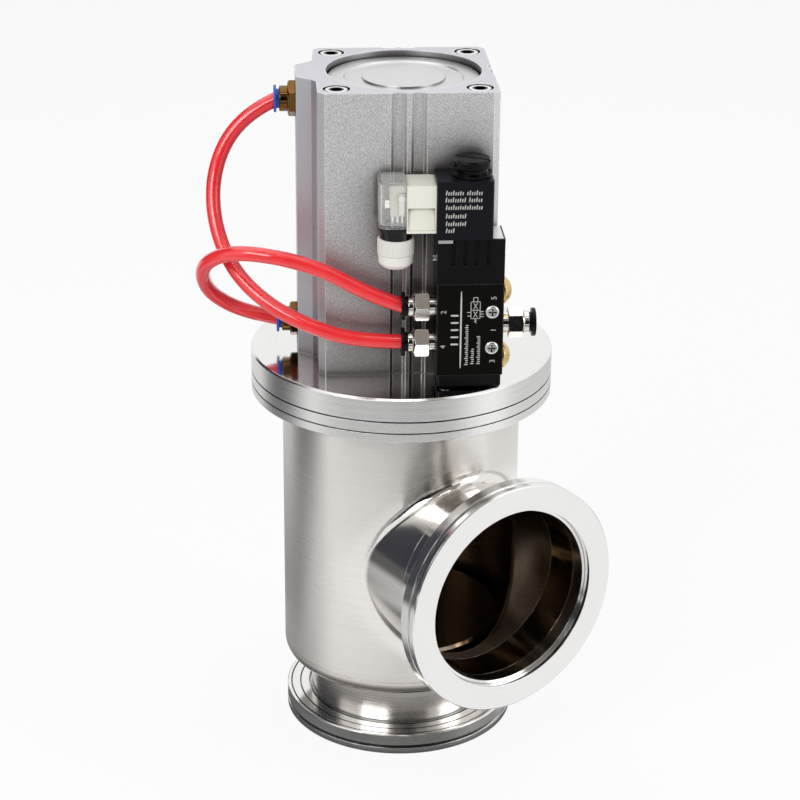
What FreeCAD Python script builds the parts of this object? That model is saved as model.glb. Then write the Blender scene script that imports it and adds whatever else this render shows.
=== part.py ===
import FreeCAD, Part
import math
import os

# Pneumatic right-angle high vacuum valve with two DN100 ISO-K ports. Millimetres, +Z up.
# Origin: centre of the lower port's flange face. The side port looks along -Y.
# The cylinder and its solenoid valve are turned about +Z by actuator_turn. They are modelled
# in the actuator frame, where the valve side looks along -Y, and are turned once, at the end.

V = FreeCAD.Vector
UP = V(0, 0, 1)

# Port flanges and necks
flange_r = 65.0
flange_thick = 12.0
recess_play = 0.3
recess_depth = 4.0
claw_lip = 3.6
claw_groove_width = 2.0
claw_groove_depth = 2.2
back_groove_inner_inset = 8.0
back_groove_outer_inset = 2.8
back_groove_width = 0.8
back_groove_depth = 1.2
weld_relief_gap = 0.5
weld_relief_width = 1.3
weld_relief_depth = 2.0
neck_inset = 14.2
neck_wall = 1.5
edge_break = 0.5

# Valve body
body_overhang = 15.2
body_wall = 2.0
body_bottom_z = 36.4
body_floor = 9.6
body_corner = 8.0
seat_rise = 0.6
seat_width = 8.0
floor_collar_wall = 1.0
floor_collar_drop = 8.2
side_collar_reach = 12.0
side_collar_bend_share = 0.4
side_port_z = 112.5
side_face_reach = 44.0

# Body flange and bonnet
rim_overhang = 17.0
joint_z = 211.5
body_flange_thick = 12.0
shell_socket = 6.0
rim_line_drop = 6.5
rim_line_width = 0.7
rim_line_depth = 1.0
joint_line_width = 0.8
joint_line_depth = 1.4
bonnet_thick = 12.7
bonnet_screw_count = 12
bonnet_screw_inset = 9.5
bonnet_screw_r = 3.0
bonnet_screw_bite = 9.0
bonnet_screw_sink = 6.5
bonnet_seal_inset = 2.3
bonnet_seal_r = 1.6

# Valve disc and stem
stem_r = 12.5
disc_overlap = 6.7
disc_thick = 13.4
disc_lift_off = 0.5
disc_bevel = 1.5
disc_seal_inset = 3.7
disc_seal_r = 2.0
disc_seal_gap = 0.2
hub_r = 20.0
hub_height = 8.0
spigot_r = 8.0
spigot_depth = 9.0
disc_screw_r = 4.0
disc_screw_bite = 16.0
stroke = 100.0

# Stem gland
gland_r = 18.0
gland_flange_r = 27.5
gland_flange_thick = 8.0
gland_seal_r = 1.7
gland_static_seal_r = 0.85
gland_seal_rise = 3.6
gland_static_seal_rise = 7.6
gland_screw_count = 4
gland_screw_pitch_r = 23.0
gland_screw_r = 2.0
gland_screw_bite = 7.0

# Cylinder
actuator_turn = -30.0
barrel_side = 94.0
barrel_height = 154.2
barrel_chamfer = 3.5
bore_r = 40.0
flute_width = 8.4
flute_floor = 5.2
flute_depth = 1.6
flute_rib = 2.0
boss_reach = 10.3
boss_tip_half = 12.2
boss_step_reach = 2.4
boss_step_half = 18.3
boss_root_half = 22.3
port_inset = 15.0
port_thread_r = 6.5
port_thread_depth = 9.0
port_passage_r = 2.4
corner_pitch = 74.0
corner_bolt_r = 4.0
corner_bolt_bite = 9.5
corner_bolt_sink = 0.3
corner_well_play = 0.7

# Cylinder ends
cap_step = 1.3
cap_recess = 3.4
cap_thick = 8.0
cap_ring_outer_inset = 9.3
cap_ring_inner_r = 22.0
cap_ring_depth = 0.9
cap_edge_step = 1.2
cap_seal_r = 1.3
cover_inset = 4.0
cover_plate = 8.0
cover_nose = 8.0
cover_nose_inset = 10.0
cover_pilot_r = 22.0
cover_pilot_depth = 3.0
cover_seal_r = 1.3
circlip_thick = 2.5
circlip_bite = 2.0
circlip_reach = 3.0
circlip_gap_half_angle = 14.0
circlip_eye_r = 3.2
circlip_eye_hole_r = 1.3
rod_seal_outer_r = 17.0
rod_seal_height = 5.0

# Piston
piston_rest_gap = 1.5
piston_thick = 17.0
piston_undersize = 0.3
piston_seal_height = 3.4
piston_seal_depth = 2.6
piston_nut_af = 24.0
piston_nut_height = 8.0
piston_nut_play = 1.4

# Push-in fittings of the cylinder
tube_r = 4.0
brass_hex_af = 17.0
brass_hex_height = 4.2
brass_dome_r = 6.8
brass_dome_height = 4.4
brass_flange_r = 7.3
brass_flange_thick = 1.4

# Push-in fittings of the solenoid valve
nickel_thread_r = 4.85
nickel_thread_depth = 7.0
nickel_neck_r = 5.6
nickel_neck_height = 3.4
nickel_hex_af = 14.5
nickel_hex_height = 8.5
nickel_dome_r = 6.0
nickel_dome_height = 2.5
nickel_flange_r = 7.5
nickel_flange_thick = 2.0
working_port_turn = -22.0
supply_port_turn = -13.0

# Both kinds of push-in fitting
hex_bevel_slope = 0.6
hex_foot_bevel = 0.36
brass_hex_bevel = 0.9
nickel_hex_bevel = 1.44
collar_travel = 1.2
collar_gap = 0.3
collar_wall = 1.05
collar_insert = 4.4
collar_seat_play = 0.3
mouth_flare = 1.55
mouth_depth = 3.3
air_passage_r = 2.5

# Solenoid valve
valve_width = 35.0
valve_depth = 22.0
valve_centre_x = 31.1
valve_rise = 7.6
block_height = 50.6
end_cap_thick = 6.2
end_cap_shrink = 0.8
end_cap_screw_r = 1.5
end_cap_screw_x = 12.5
end_cap_screw_y = 7.0
pilot_height = 22.5
pilot_slot_width = 2.0
pilot_slot_depth = 1.2
pilot_slot_drop = 11.8
pilot_slot_pitch = 6.0
pilot_slot_start = 7.2
pilot_slot_count = 4
plate_thick = 2.0
plate_inset = 0.3
pilot_lip_start = 7.9
pilot_lip_thick = 1.3
pilot_lip_side = 0.8
port_spread = 10.0
exhaust_spread = 18.2
valve_screw_r = 2.0
valve_screw_x = 11.5
valve_screw_bite = 5.0
valve_screw_proud = 1.0
spool_bore_r = 6.0
spool_waist_r = 3.6
spool_length = 40.0
spool_land = 4.6
spool_land_count = 5
spool_travel = 3.5
spool_top_gap = 0.4
spring_coil_r = 3.6
spring_wire_r = 0.55
spring_turns = 5
spring_pocket = 3.2
button_r = 2.5
button_drop = 11.0
button_length = 9.0
button_proud = 1.6
button_travel = 1.2

# Coil and armature
armature_x = 31.5
armature_tube_r = 4.9
armature_wall = 0.9
armature_flange_r = 8.0
armature_flange_thick = 3.5
armature_top = 38.4
plunger_length = 20.0
plunger_travel = 1.0
coil_width = 29.3
coil_depth = 22.6
coil_back_gap = 0.4
coil_height = 31.3
coil_overhang = 0.7
coil_corner = 1.4
nut_base_r = 10.5
nut_base_height = 1.6
nut_waist_r = 8.2
nut_waist_height = 2.4
nut_head_r = 9.8
nut_head_height = 5.2
nut_slot_width = 1.6
nut_slot_depth = 1.8
nut_slot_turn = -27.0

# Cable connector
base_length = 15.3
base_depth = 20.6
base_height = 25.4
base_drop = 2.6
base_wall = 3.0
panel_height = 12.0
panel_depth = 2.4
panel_foot = 0.4
panel_margin = 1.5
cover_length = 14.3
cover_depth = 21.0
cover_height = 24.5
cover_rise = 1.6
cover_wall = 1.6
cover_corner = 4.5
insert_length = 8.0
insert_foot = 5.0
insert_drop = 1.5
stub_r = 7.2
stub_wall = 1.7
stub_height = 14.5
gasket_r = 9.7
gasket_thick = 2.6
gasket_neck_r = 8.4
base_play = 0.3
gland_nut_r = 9.4
gland_nut_height = 16.0
gland_nut_drop = 5.0
gland_nut_foot = 7.2
gland_nut_groove = 0.5
cable_hole_r = 3.5
cable_seal_height = 5.0
clamp_well_r = 1.7
clamp_well_depth = 5.0
clamp_well_drop = 4.5
blade_width = 6.3
blade_thick = 0.8
blade_length = 9.0
blade_spread = 5.5
connector_screw_r = 1.5
connector_screw_x = 16.0

# Silencers
silencer_r = 7.2
silencer_flange = 1.2
silencer_dome = 3.8
silencer_thread_depth = 6.0

# Screws
head_margin = 0.5
pan_head_r = 3.6
pan_head_height = 2.6
cross_width = 0.9
cross_reach = 2.1
cross_depth = 1.5

# Clearances
slide_clearance = 0.05
bore_clearance = 0.1
seat_clearance = 0.05
shank_clearance = 0.4
head_clearance = 1.0

# Tubes: centre lines in the actuator frame, from the cylinder port to the solenoid valve
upper_route = [
    (-66.5, 0.0, 363.4), (-79.0, -0.5, 358.0), (-94.5, -2.5, 342.5), (-102.2, -7.0, 320.5),
    (-101.0, -17.0, 298.0), (-91.5, -33.0, 278.5), (-73.0, -48.0, 264.5), (-50.5, -56.5, 255.0),
    (-26.5, -58.0, 247.8), (-3.2, -58.0, 247.1),
]
lower_route = [
    (-66.5, 0.0, 239.2), (-78.5, -0.5, 242.0), (-95.0, -4.5, 249.5), (-107.0, -15.0, 263.0),
    (-108.5, -33.0, 282.5), (-94.0, -50.0, 295.5), (-69.5, -59.5, 296.0), (-44.0, -57.0, 287.0),
    (-21.0, -58.0, 273.5), (-3.2, -58.0, 267.1),
]
arc_share = 0.45

# Levels and places that follow from the values above
neck_r = flange_r - neck_inset
neck_bore_r = neck_r - neck_wall
recess_r = neck_r + recess_play
body_r = neck_r + body_overhang
body_bore_r = body_r - body_wall
side_collar_y = body_r + side_collar_reach
side_collar_bend = side_collar_bend_share * body_overhang
side_face_y = body_r + side_face_reach
rim_r = body_r + rim_overhang
bonnet_screw_pitch_r = body_r + bonnet_screw_inset
bonnet_seal_pitch_r = body_r + bonnet_seal_inset
disc_r = neck_r + disc_overlap
disc_seal_pitch_r = neck_bore_r + disc_seal_inset
floor_z = body_bottom_z + body_floor
seat_z = floor_z + seat_rise
flange_underside_z = joint_z - body_flange_thick
shell_top_z = flange_underside_z + shell_socket
bonnet_top_z = joint_z + bonnet_thick
disc_bottom_z = seat_z + disc_lift_off
disc_top_z = disc_bottom_z + disc_thick
hub_top_z = disc_top_z + hub_height
barrel_top_z = bonnet_top_z + barrel_height
half_side = barrel_side / 2
cap_r = bore_r + cap_step
cap_ring_outer_r = cap_r - cap_ring_outer_inset
cover_nose_r = bore_r - cover_nose_inset
circlip_inner_r = bore_r - circlip_reach
cap_top_z = barrel_top_z - cap_recess
cap_bottom_z = cap_top_z - cap_thick
cover_bottom_z = bonnet_top_z + cover_inset
cover_step_z = cover_bottom_z + cover_plate
cover_top_z = cover_step_z + cover_nose
piston_bottom_z = cover_top_z + piston_rest_gap
piston_top_z = piston_bottom_z + piston_thick
port_low_z = bonnet_top_z + port_inset
port_high_z = barrel_top_z - port_inset
boss_x = -half_side - boss_reach
collar_r = tube_r + bore_clearance + collar_wall
valve_left = valve_centre_x - valve_width / 2
valve_right = valve_centre_x + valve_width / 2
valve_back = -half_side
valve_front = valve_back - valve_depth
valve_y = valve_back - valve_depth / 2
block_z = bonnet_top_z + valve_rise
block_top_z = block_z + block_height
block_mid_z = block_z + block_height / 2
pilot_top_z = block_top_z + pilot_height
plate_top_z = pilot_top_z + plate_thick
coil_top_z = plate_top_z + coil_height
coil_left = valve_left - coil_overhang
base_left = coil_left - base_length
cover_left = base_left - cover_length
base_top_z = coil_top_z - base_drop
base_bottom_z = base_top_z - base_height
cover_top_edge_z = base_top_z + cover_rise
cover_bottom_edge_z = cover_top_edge_z - cover_height
cable_x = cover_left + gland_nut_r


def head_radius(shank_r):
    """Head radius of a hexagon socket screw."""
    return 1.5 * shank_r + head_margin


def head_height(shank_r):
    """Head height of a hexagon socket screw."""
    return 2 * shank_r


def cylinder(r, z0, z1, x=0.0, y=0.0):
    return Part.makeCylinder(r, z1 - z0, V(x, y, z0))


def tube(outer, inner, z0, z1, x=0.0, y=0.0):
    return cylinder(outer, z0, z1, x, y).cut(cylinder(inner, z0 - 1, z1 + 1, x, y))


def block(x0, x1, y0, y1, z0, z1):
    return Part.makeBox(x1 - x0, y1 - y0, z1 - z0, V(x0, y0, z0))


def prism(points, z0, z1):
    """Upright prism on a closed outline of (x, y) points."""
    wire = Part.makePolygon([V(x, y, z0) for x, y in points + points[:1]])
    return Part.Face(wire).extrude(V(0, 0, z1 - z0))


def hexagon(across_flats, z0, z1, x=0.0, y=0.0):
    r = across_flats / math.sqrt(3)
    corners = [math.radians(60 * i) for i in range(6)]
    return prism([(x + r * math.cos(a), y + r * math.sin(a)) for a in corners], z0, z1)


def bevelled_hexagon(across_flats, z0, z1, bevel):
    """Hexagon whose corners are turned off at its ends."""
    r = across_flats / math.sqrt(3)
    low_r, high_r = r - hex_foot_bevel / hex_bevel_slope, r - bevel / hex_bevel_slope
    turning = lathe([(0, z0), (low_r, z0), (r, z0 + hex_foot_bevel), (r, z1 - bevel),
                     (high_r, z1), (0, z1)])
    return hexagon(across_flats, z0, z1).common(turning)


def lathe(points):
    """Solid turned about Z from a closed outline of (radius, z) points."""
    wire = Part.makePolygon([V(r, 0, z) for r, z in points + points[:1]])
    return Part.Face(wire).revolve(V(0, 0, 0), UP, 360)


def seal_ring(pitch_r, section_r, z):
    return Part.makeTorus(pitch_r, section_r, V(0, 0, z))


def circles(solid, r, z):
    """Circular edges of radius r at height z."""
    found = []
    for edge in solid.Edges:
        curve = edge.Curve
        if isinstance(curve, Part.Circle) and abs(curve.Radius - r) < 0.01:
            if abs(curve.Center.z - z) < 0.01:
                found.append(edge)
    return found


def aim(shape, origin, direction):
    """Place a shape made along +Z from the origin so that it runs along direction."""
    placed = shape.copy()
    place = FreeCAD.Placement(V(*origin), FreeCAD.Rotation(UP, V(*direction)))
    placed.Placement = place.multiply(shape.Placement)
    return placed


def spun(shape, angle):
    """Copy of a shape turned about Z."""
    copy = shape.copy()
    copy.rotate(V(0, 0, 0), UP, angle)
    return copy


def polar(count, r, start=0.0):
    """Evenly spaced (x, y) places on a circle."""
    steps = [math.radians(start + 360.0 * i / count) for i in range(count)]
    return [(r * math.cos(a), r * math.sin(a)) for a in steps]


def socket_screw(shank_r, reach):
    """Hexagon socket screw along +Z: head below z = 0, shank above it."""
    r, h = head_radius(shank_r), head_height(shank_r)
    body = cylinder(r, -h, 0).fuse(cylinder(shank_r, 0, reach)).removeSplitter()
    body = body.makeChamfer(0.12 * r, circles(body, r, -h))
    return body.cut(hexagon(1.5 * shank_r, -h - 1, -0.45 * h))


def cross_screw(shank_r, reach):
    """Pan head screw along +Z with a cross recess: head below z = 0, shank above it."""
    head = cylinder(pan_head_r, -pan_head_height, 0)
    head = head.makeFillet(0.4 * pan_head_height, circles(head, pan_head_r, -pan_head_height))
    body = head.fuse(cylinder(shank_r, 0, reach)).removeSplitter()
    w, a, z1 = cross_width / 2, cross_reach, cross_depth - pan_head_height
    for x, y in ((a, w), (w, a)):
        body = body.cut(block(-x, x, -y, y, -pan_head_height - 1, z1))
    return body


def port_flange():
    """ISO-K flange along +Z from its sealing face, with the claw groove in its rim."""
    groove_end = claw_lip + claw_groove_width
    b = edge_break
    flange = lathe([
        (recess_r, 0), (flange_r - b, 0), (flange_r, b),
        (flange_r, claw_lip), (flange_r - claw_groove_depth, claw_lip + b),
        (flange_r - claw_groove_depth, groove_end - b), (flange_r, groove_end),
        (flange_r, flange_thick - b), (flange_r - b, flange_thick),
        (neck_bore_r, flange_thick), (neck_bore_r, recess_depth), (recess_r, recess_depth),
    ])
    relief_r = neck_r + weld_relief_gap
    for r, width, depth in (
            (flange_r - back_groove_inner_inset, back_groove_width, back_groove_depth),
            (flange_r - back_groove_outer_inset, back_groove_width, back_groove_depth),
            (relief_r, weld_relief_width, weld_relief_depth)):
        flange = flange.cut(tube(r + width, r, flange_thick - depth, flange_thick + 1))
    return flange


def side_place(shape):
    """Turn a shape made along +Z so that it runs inward from the side port's face."""
    return aim(shape, (0, -side_face_y, side_port_z), (0, 1, 0))


def make_lower_neck():
    return tube(neck_r, neck_bore_r, flange_thick, body_bottom_z)


def make_side_neck():
    return side_place(tube(neck_r, neck_bore_r, flange_thick, side_face_y - side_collar_y))


def make_body_floor():
    """Turned floor: seat land round the throat above, socket collar for the neck below."""
    seat_outer = neck_bore_r + seat_width
    socket_r = neck_r + floor_collar_wall
    collar_z = body_bottom_z - floor_collar_drop
    floor = lathe([
        (neck_bore_r, body_bottom_z), (neck_r, body_bottom_z), (neck_r, collar_z),
        (socket_r, collar_z), (socket_r, body_bottom_z), (body_r, body_bottom_z),
        (body_r, floor_z), (seat_outer, floor_z), (seat_outer - seat_rise, seat_z),
        (neck_bore_r, seat_z),
    ])
    floor = floor.makeFillet(body_corner, circles(floor, body_r, body_bottom_z))
    return floor.makeFillet(floor_collar_wall, circles(floor, socket_r, body_bottom_z))


def crossed_tubes(wall_r, branch_r, bend):
    """Upright cylinder and the side port's cylinder as one solid, its saddle edge rounded."""
    branch = side_place(cylinder(branch_r, side_face_y - side_collar_y, side_face_y))
    solid = cylinder(wall_r, floor_z, shell_top_z).fuse(branch)
    saddle = [e for e in solid.Edges if isinstance(e.Curve, Part.BSplineCurve)]
    return solid.makeFillet(bend, saddle)


def make_body_wall():
    """Tube with the side port's collar drawn out of it."""
    outer = crossed_tubes(body_r, neck_r, side_collar_bend)
    return outer.cut(crossed_tubes(body_bore_r, neck_bore_r, side_collar_bend + body_wall))


def screw_places():
    return polar(bonnet_screw_count, bonnet_screw_pitch_r, 15.0)


def make_body_flange():
    b = edge_break
    line_z = joint_z - rim_line_drop
    groove_half = bonnet_seal_r + 0.2
    ring = lathe([
        (body_r, flange_underside_z), (rim_r - b, flange_underside_z),
        (rim_r, flange_underside_z + b), (rim_r, line_z - rim_line_width),
        (rim_r - rim_line_depth, line_z - rim_line_width), (rim_r - rim_line_depth, line_z),
        (rim_r, line_z), (rim_r, joint_z - joint_line_width),
        (rim_r - joint_line_depth, joint_z - joint_line_width),
        (rim_r - joint_line_depth, joint_z),
        (bonnet_seal_pitch_r + groove_half, joint_z),
        (bonnet_seal_pitch_r + groove_half, joint_z - 2 * bonnet_seal_r),
        (bonnet_seal_pitch_r - groove_half, joint_z - 2 * bonnet_seal_r),
        (bonnet_seal_pitch_r - groove_half, joint_z), (body_bore_r, joint_z),
        (body_bore_r, shell_top_z), (body_r, shell_top_z),
    ])
    well_r = head_radius(bonnet_screw_r) + shank_clearance
    for x, y in screw_places():
        ring = ring.cut(cylinder(bonnet_screw_r + shank_clearance, 0, joint_z + 1, x, y))
        ring = ring.cut(cylinder(well_r, 0, flange_underside_z + bonnet_screw_sink, x, y))
    return ring


def make_bonnet_screws():
    seat = flange_underside_z + bonnet_screw_sink
    screw = socket_screw(bonnet_screw_r, joint_z + bonnet_screw_bite - seat)
    return [screw.translated(V(x, y, seat)) for x, y in screw_places()]


def corner_places():
    h = corner_pitch / 2
    return [(h, h), (-h, h), (-h, -h), (h, -h)]


def turned(x, y):
    """Where a place in the actuator frame lies in the part's frame."""
    a = math.radians(actuator_turn)
    return x * math.cos(a) - y * math.sin(a), x * math.sin(a) + y * math.cos(a)


def make_bonnet_plate():
    plate = cylinder(rim_r, joint_z, bonnet_top_z)
    plate = plate.makeChamfer(2 * edge_break, circles(plate, rim_r, bonnet_top_z))
    plate = plate.cut(cylinder(gland_r + seat_clearance, 0, bonnet_top_z + 1))
    pocket_z = bonnet_top_z - cover_pilot_depth
    plate = plate.cut(cylinder(cover_pilot_r, pocket_z, bonnet_top_z + 1))
    for x, y in screw_places():
        plate = plate.cut(cylinder(bonnet_screw_r, 0, joint_z + bonnet_screw_bite, x, y))
    for x, y in polar(gland_screw_count, gland_screw_pitch_r, 45.0):
        plate = plate.cut(cylinder(gland_screw_r, 0, joint_z + gland_screw_bite, x, y))
    for place in corner_places():
        x, y = turned(*place)
        hole = cylinder(corner_bolt_r, bonnet_top_z - corner_bolt_bite, bonnet_top_z + 1, x, y)
        plate = plate.cut(hole)
    return plate


def gland_levels():
    """Heights of the two stem seals and of the static seal."""
    low = joint_z - gland_flange_thick / 2
    return low, joint_z + gland_seal_rise, joint_z + gland_static_seal_rise


def gland_groove_r():
    return stem_r + bore_clearance + 2 * gland_seal_r


def make_gland_bush():
    top_z = bonnet_top_z - cover_pilot_depth
    bush = cylinder(gland_r, joint_z, top_z)
    bush = bush.fuse(cylinder(gland_flange_r, joint_z - gland_flange_thick, joint_z))
    bush = bush.cut(cylinder(stem_r + slide_clearance, 0, bonnet_top_z))
    low, high, static = gland_levels()
    for z in (low, high):
        bush = bush.cut(cylinder(gland_groove_r(), z - gland_seal_r, z + gland_seal_r))
    s = gland_static_seal_r
    bush = bush.cut(tube(gland_r + 1, gland_r - 2 * s, static - s, static + s))
    sink = head_height(gland_screw_r)
    for x, y in polar(gland_screw_count, gland_screw_pitch_r, 45.0):
        bottom_z = joint_z - gland_flange_thick
        head_r = head_radius(gland_screw_r) + shank_clearance
        bush = bush.cut(cylinder(head_r, bottom_z - 1, bottom_z + sink, x, y))
        bush = bush.cut(cylinder(gland_screw_r + shank_clearance / 2, 0, joint_z + 1, x, y))
    return bush.removeSplitter()


def make_gland_seals():
    low, high, static = gland_levels()
    pitch = stem_r + bore_clearance + gland_seal_r
    rings = [seal_ring(pitch, gland_seal_r, z) for z in (low, high)]
    rings.append(seal_ring(gland_r - gland_static_seal_r, gland_static_seal_r, static))
    return rings


def make_gland_screws():
    sink = head_height(gland_screw_r)
    seat = joint_z - gland_flange_thick + sink
    screw = socket_screw(gland_screw_r, joint_z + gland_screw_bite - seat)
    places = polar(gland_screw_count, gland_screw_pitch_r, 45.0)
    return [screw.translated(V(x, y, seat)) for x, y in places]


def disc_screw_seat_z():
    return disc_bottom_z + head_height(disc_screw_r) + head_clearance


def make_valve_disc():
    """Flat disc with a hub, a dovetail seal groove below and a sunk screw."""
    c = disc_bevel
    mouth = disc_seal_r - 0.25
    root = disc_seal_r + 0.4
    groove_top = seat_z + disc_seal_gap + 2 * disc_seal_r
    pocket_r = head_radius(disc_screw_r) + head_clearance
    seat = disc_screw_seat_z()
    spigot_z = hub_top_z - spigot_depth
    return lathe([
        (pocket_r, disc_bottom_z), (disc_seal_pitch_r - mouth, disc_bottom_z),
        (disc_seal_pitch_r - root, groove_top), (disc_seal_pitch_r + root, groove_top),
        (disc_seal_pitch_r + mouth, disc_bottom_z), (disc_r - edge_break, disc_bottom_z),
        (disc_r, disc_bottom_z + edge_break), (disc_r, disc_top_z - c), (disc_r - c, disc_top_z),
        (hub_r, disc_top_z), (hub_r, hub_top_z - c), (hub_r - c, hub_top_z),
        (spigot_r, hub_top_z), (spigot_r, spigot_z), (disc_screw_r + shank_clearance, spigot_z),
        (disc_screw_r + shank_clearance, seat), (pocket_r, seat),
    ])


def make_valve_stem():
    """One ground rod from the valve disc through both covers to the piston."""
    web_z = piston_top_z - piston_nut_height
    stem = cylinder(stem_r, hub_top_z, piston_bottom_z)
    stem = stem.fuse(cylinder(spigot_r - seat_clearance, hub_top_z - spigot_depth, hub_top_z))
    stem = stem.fuse(cylinder(spigot_r - seat_clearance, piston_bottom_z, web_z))
    stem = stem.fuse(cylinder(spigot_r - seat_clearance, web_z, piston_top_z))
    thread_top = disc_screw_seat_z() + disc_screw_bite
    return stem.cut(cylinder(disc_screw_r, 0, thread_top)).removeSplitter()


def make_piston():
    r = bore_r - piston_undersize
    web_z = piston_top_z - piston_nut_height
    piston = cylinder(r, piston_bottom_z, piston_top_z)
    piston = piston.makeChamfer(2 * edge_break, circles(piston, r, piston_top_z))
    piston = piston.cut(cylinder(spigot_r, piston_bottom_z - 1, web_z + 1))
    pocket_r = piston_nut_af / math.sqrt(3) + piston_nut_play
    piston = piston.cut(cylinder(pocket_r, web_z, piston_top_z + 1))
    for z in piston_seal_levels():
        groove = tube(r + 1, r - piston_seal_depth, z, z + piston_seal_height)
        piston = piston.cut(groove)
    return piston


def piston_seal_levels():
    spread = piston_thick / 4
    middle = (piston_bottom_z + piston_top_z - piston_seal_height) / 2
    return middle - spread, middle + spread


def make_piston_seals():
    outer = bore_r - slide_clearance
    inner = bore_r - piston_undersize - piston_seal_depth
    return [tube(outer, inner, z, z + piston_seal_height) for z in piston_seal_levels()]


def make_piston_nut():
    web_z = piston_top_z - piston_nut_height
    nut = hexagon(piston_nut_af, web_z, piston_top_z)
    return nut.cut(cylinder(spigot_r, web_z - 1, piston_top_z + 1))


def barrel_outline():
    """Square with chamfered corners and the port boss on its left side."""
    s, c = half_side, barrel_chamfer
    return [
        (s - c, -s), (s, -s + c), (s, s - c), (s - c, s), (-s + c, s), (-s, s - c),
        (-s, boss_root_half), (-s - boss_step_reach, boss_step_half),
        (boss_x, boss_tip_half), (boss_x, -boss_tip_half),
        (-s - boss_step_reach, -boss_step_half), (-s, -boss_root_half), (-s, -s + c), (-s + c, -s),
    ]


def flute_cutters():
    """Pairs of shallow channels with slanted walls down the front, the right and the back."""
    mouth, floor = flute_width / 2, flute_floor / 2
    slant = (mouth - floor) / flute_depth
    over = mouth + slant
    offset = (flute_rib + flute_width) / 2
    y0, y1 = -half_side - 1, -half_side + flute_depth
    cutters = []
    for turn in (0, 90, 180):
        for side in (-offset, offset):
            outline = [(side - over, y0), (side + over, y0), (side + floor, y1), (side - floor, y1)]
            channel = prism(outline, bonnet_top_z - 1, barrel_top_z + 1)
            channel.rotate(V(0, 0, 0), UP, turn)
            cutters.append(channel)
    return cutters


def make_barrel():
    barrel = prism(barrel_outline(), bonnet_top_z, barrel_top_z)
    for cutter in flute_cutters():
        barrel = barrel.cut(cutter)
    barrel = barrel.cut(cylinder(bore_r, bonnet_top_z - 1, barrel_top_z + 1))
    barrel = barrel.cut(cylinder(cap_r, cap_bottom_z, barrel_top_z + 1))
    clip_z = cover_bottom_z - circlip_thick
    barrel = barrel.cut(cylinder(bore_r + circlip_bite, clip_z, cover_bottom_z))
    seat = corner_seat_z()
    well_r = head_radius(corner_bolt_r) + corner_well_play
    for x, y in corner_places():
        hole_r = corner_bolt_r + shank_clearance
        barrel = barrel.cut(cylinder(hole_r, bonnet_top_z - 1, barrel_top_z + 1, x, y))
        barrel = barrel.cut(cylinder(well_r, seat, barrel_top_z + 1, x, y))
    for z in (port_low_z, port_high_z):
        thread = Part.makeCylinder(port_thread_r, port_thread_depth, V(boss_x, 0, z), V(1, 0, 0))
        passage = Part.makeCylinder(port_passage_r, half_side, V(boss_x, 0, z), V(1, 0, 0))
        barrel = barrel.cut(thread).cut(passage)
    for z in valve_screw_levels():
        hole = Part.makeCylinder(valve_screw_r, valve_screw_bite,
                                 V(valve_centre_x + valve_screw_x, valve_back, z), V(0, 1, 0))
        barrel = barrel.cut(hole)
    return barrel


def corner_seat_z():
    return barrel_top_z - head_height(corner_bolt_r) - corner_bolt_sink


def make_corner_bolts():
    bolt = socket_screw(corner_bolt_r, corner_seat_z() - bonnet_top_z + corner_bolt_bite)
    seat = corner_seat_z()
    return [aim(bolt, (x, y, seat), (0, 0, -1)) for x, y in corner_places()]


def cap_seal_z():
    return cap_bottom_z + cap_thick / 2


def make_rear_cap():
    r = cap_r - seat_clearance
    s = cap_seal_r
    z = cap_seal_z()
    ring_z = cap_top_z - cap_ring_depth
    return lathe([
        (0, cap_bottom_z), (r, cap_bottom_z), (r, z - s), (r - 2 * s, z - s), (r - 2 * s, z + s),
        (r, z + s), (r, cap_top_z - cap_edge_step), (r - cap_edge_step, cap_top_z),
        (cap_ring_outer_r, cap_top_z), (cap_ring_outer_r - cap_ring_depth, ring_z),
        (cap_ring_inner_r, ring_z), (cap_ring_inner_r, cap_top_z), (0, cap_top_z),
    ])


def make_front_cover():
    r = bore_r - seat_clearance
    s = cover_seal_r
    z = (cover_bottom_z + cover_step_z) / 2
    pilot_r = cover_pilot_r - seat_clearance
    cover = lathe([
        (stem_r + bore_clearance, bonnet_top_z - cover_pilot_depth),
        (pilot_r, bonnet_top_z - cover_pilot_depth), (pilot_r, cover_bottom_z),
        (r, cover_bottom_z), (r, z - s), (r - 2 * s, z - s), (r - 2 * s, z + s), (r, z + s),
        (r, cover_step_z), (cover_nose_r, cover_step_z), (cover_nose_r, cover_top_z),
        (stem_r + bore_clearance, cover_top_z),
    ])
    seal_z = cover_step_z - rod_seal_height / 2
    return cover.cut(cylinder(rod_seal_outer_r, seal_z, seal_z + rod_seal_height))


def make_rod_seal():
    seal_z = cover_step_z - rod_seal_height / 2
    return tube(rod_seal_outer_r, stem_r + bore_clearance, seal_z, seal_z + rod_seal_height)


def make_circlip():
    """Open retaining ring with an eye at each end."""
    z0 = cover_bottom_z - circlip_thick
    ring = tube(bore_r + circlip_bite, circlip_inner_r, z0, cover_bottom_z)
    eye_place = circlip_inner_r - circlip_eye_r / 3
    a = math.radians(90 + circlip_gap_half_angle)
    for sign in (-1, 1):
        x, y = sign * eye_place * math.cos(a), eye_place * math.sin(a)
        ring = ring.fuse(cylinder(circlip_eye_r, z0, cover_bottom_z, x, y))
    gap = circlip_inner_r * math.sin(math.radians(circlip_gap_half_angle)) - circlip_eye_r
    ring = ring.cut(block(-gap, gap, 0, bore_r + 2 * circlip_bite, z0 - 1, cover_bottom_z + 1))
    for sign in (-1, 1):
        x, y = sign * eye_place * math.cos(a), eye_place * math.sin(a)
        ring = ring.cut(cylinder(circlip_eye_hole_r, z0 - 1, cover_bottom_z + 1, x, y))
    return ring


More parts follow.
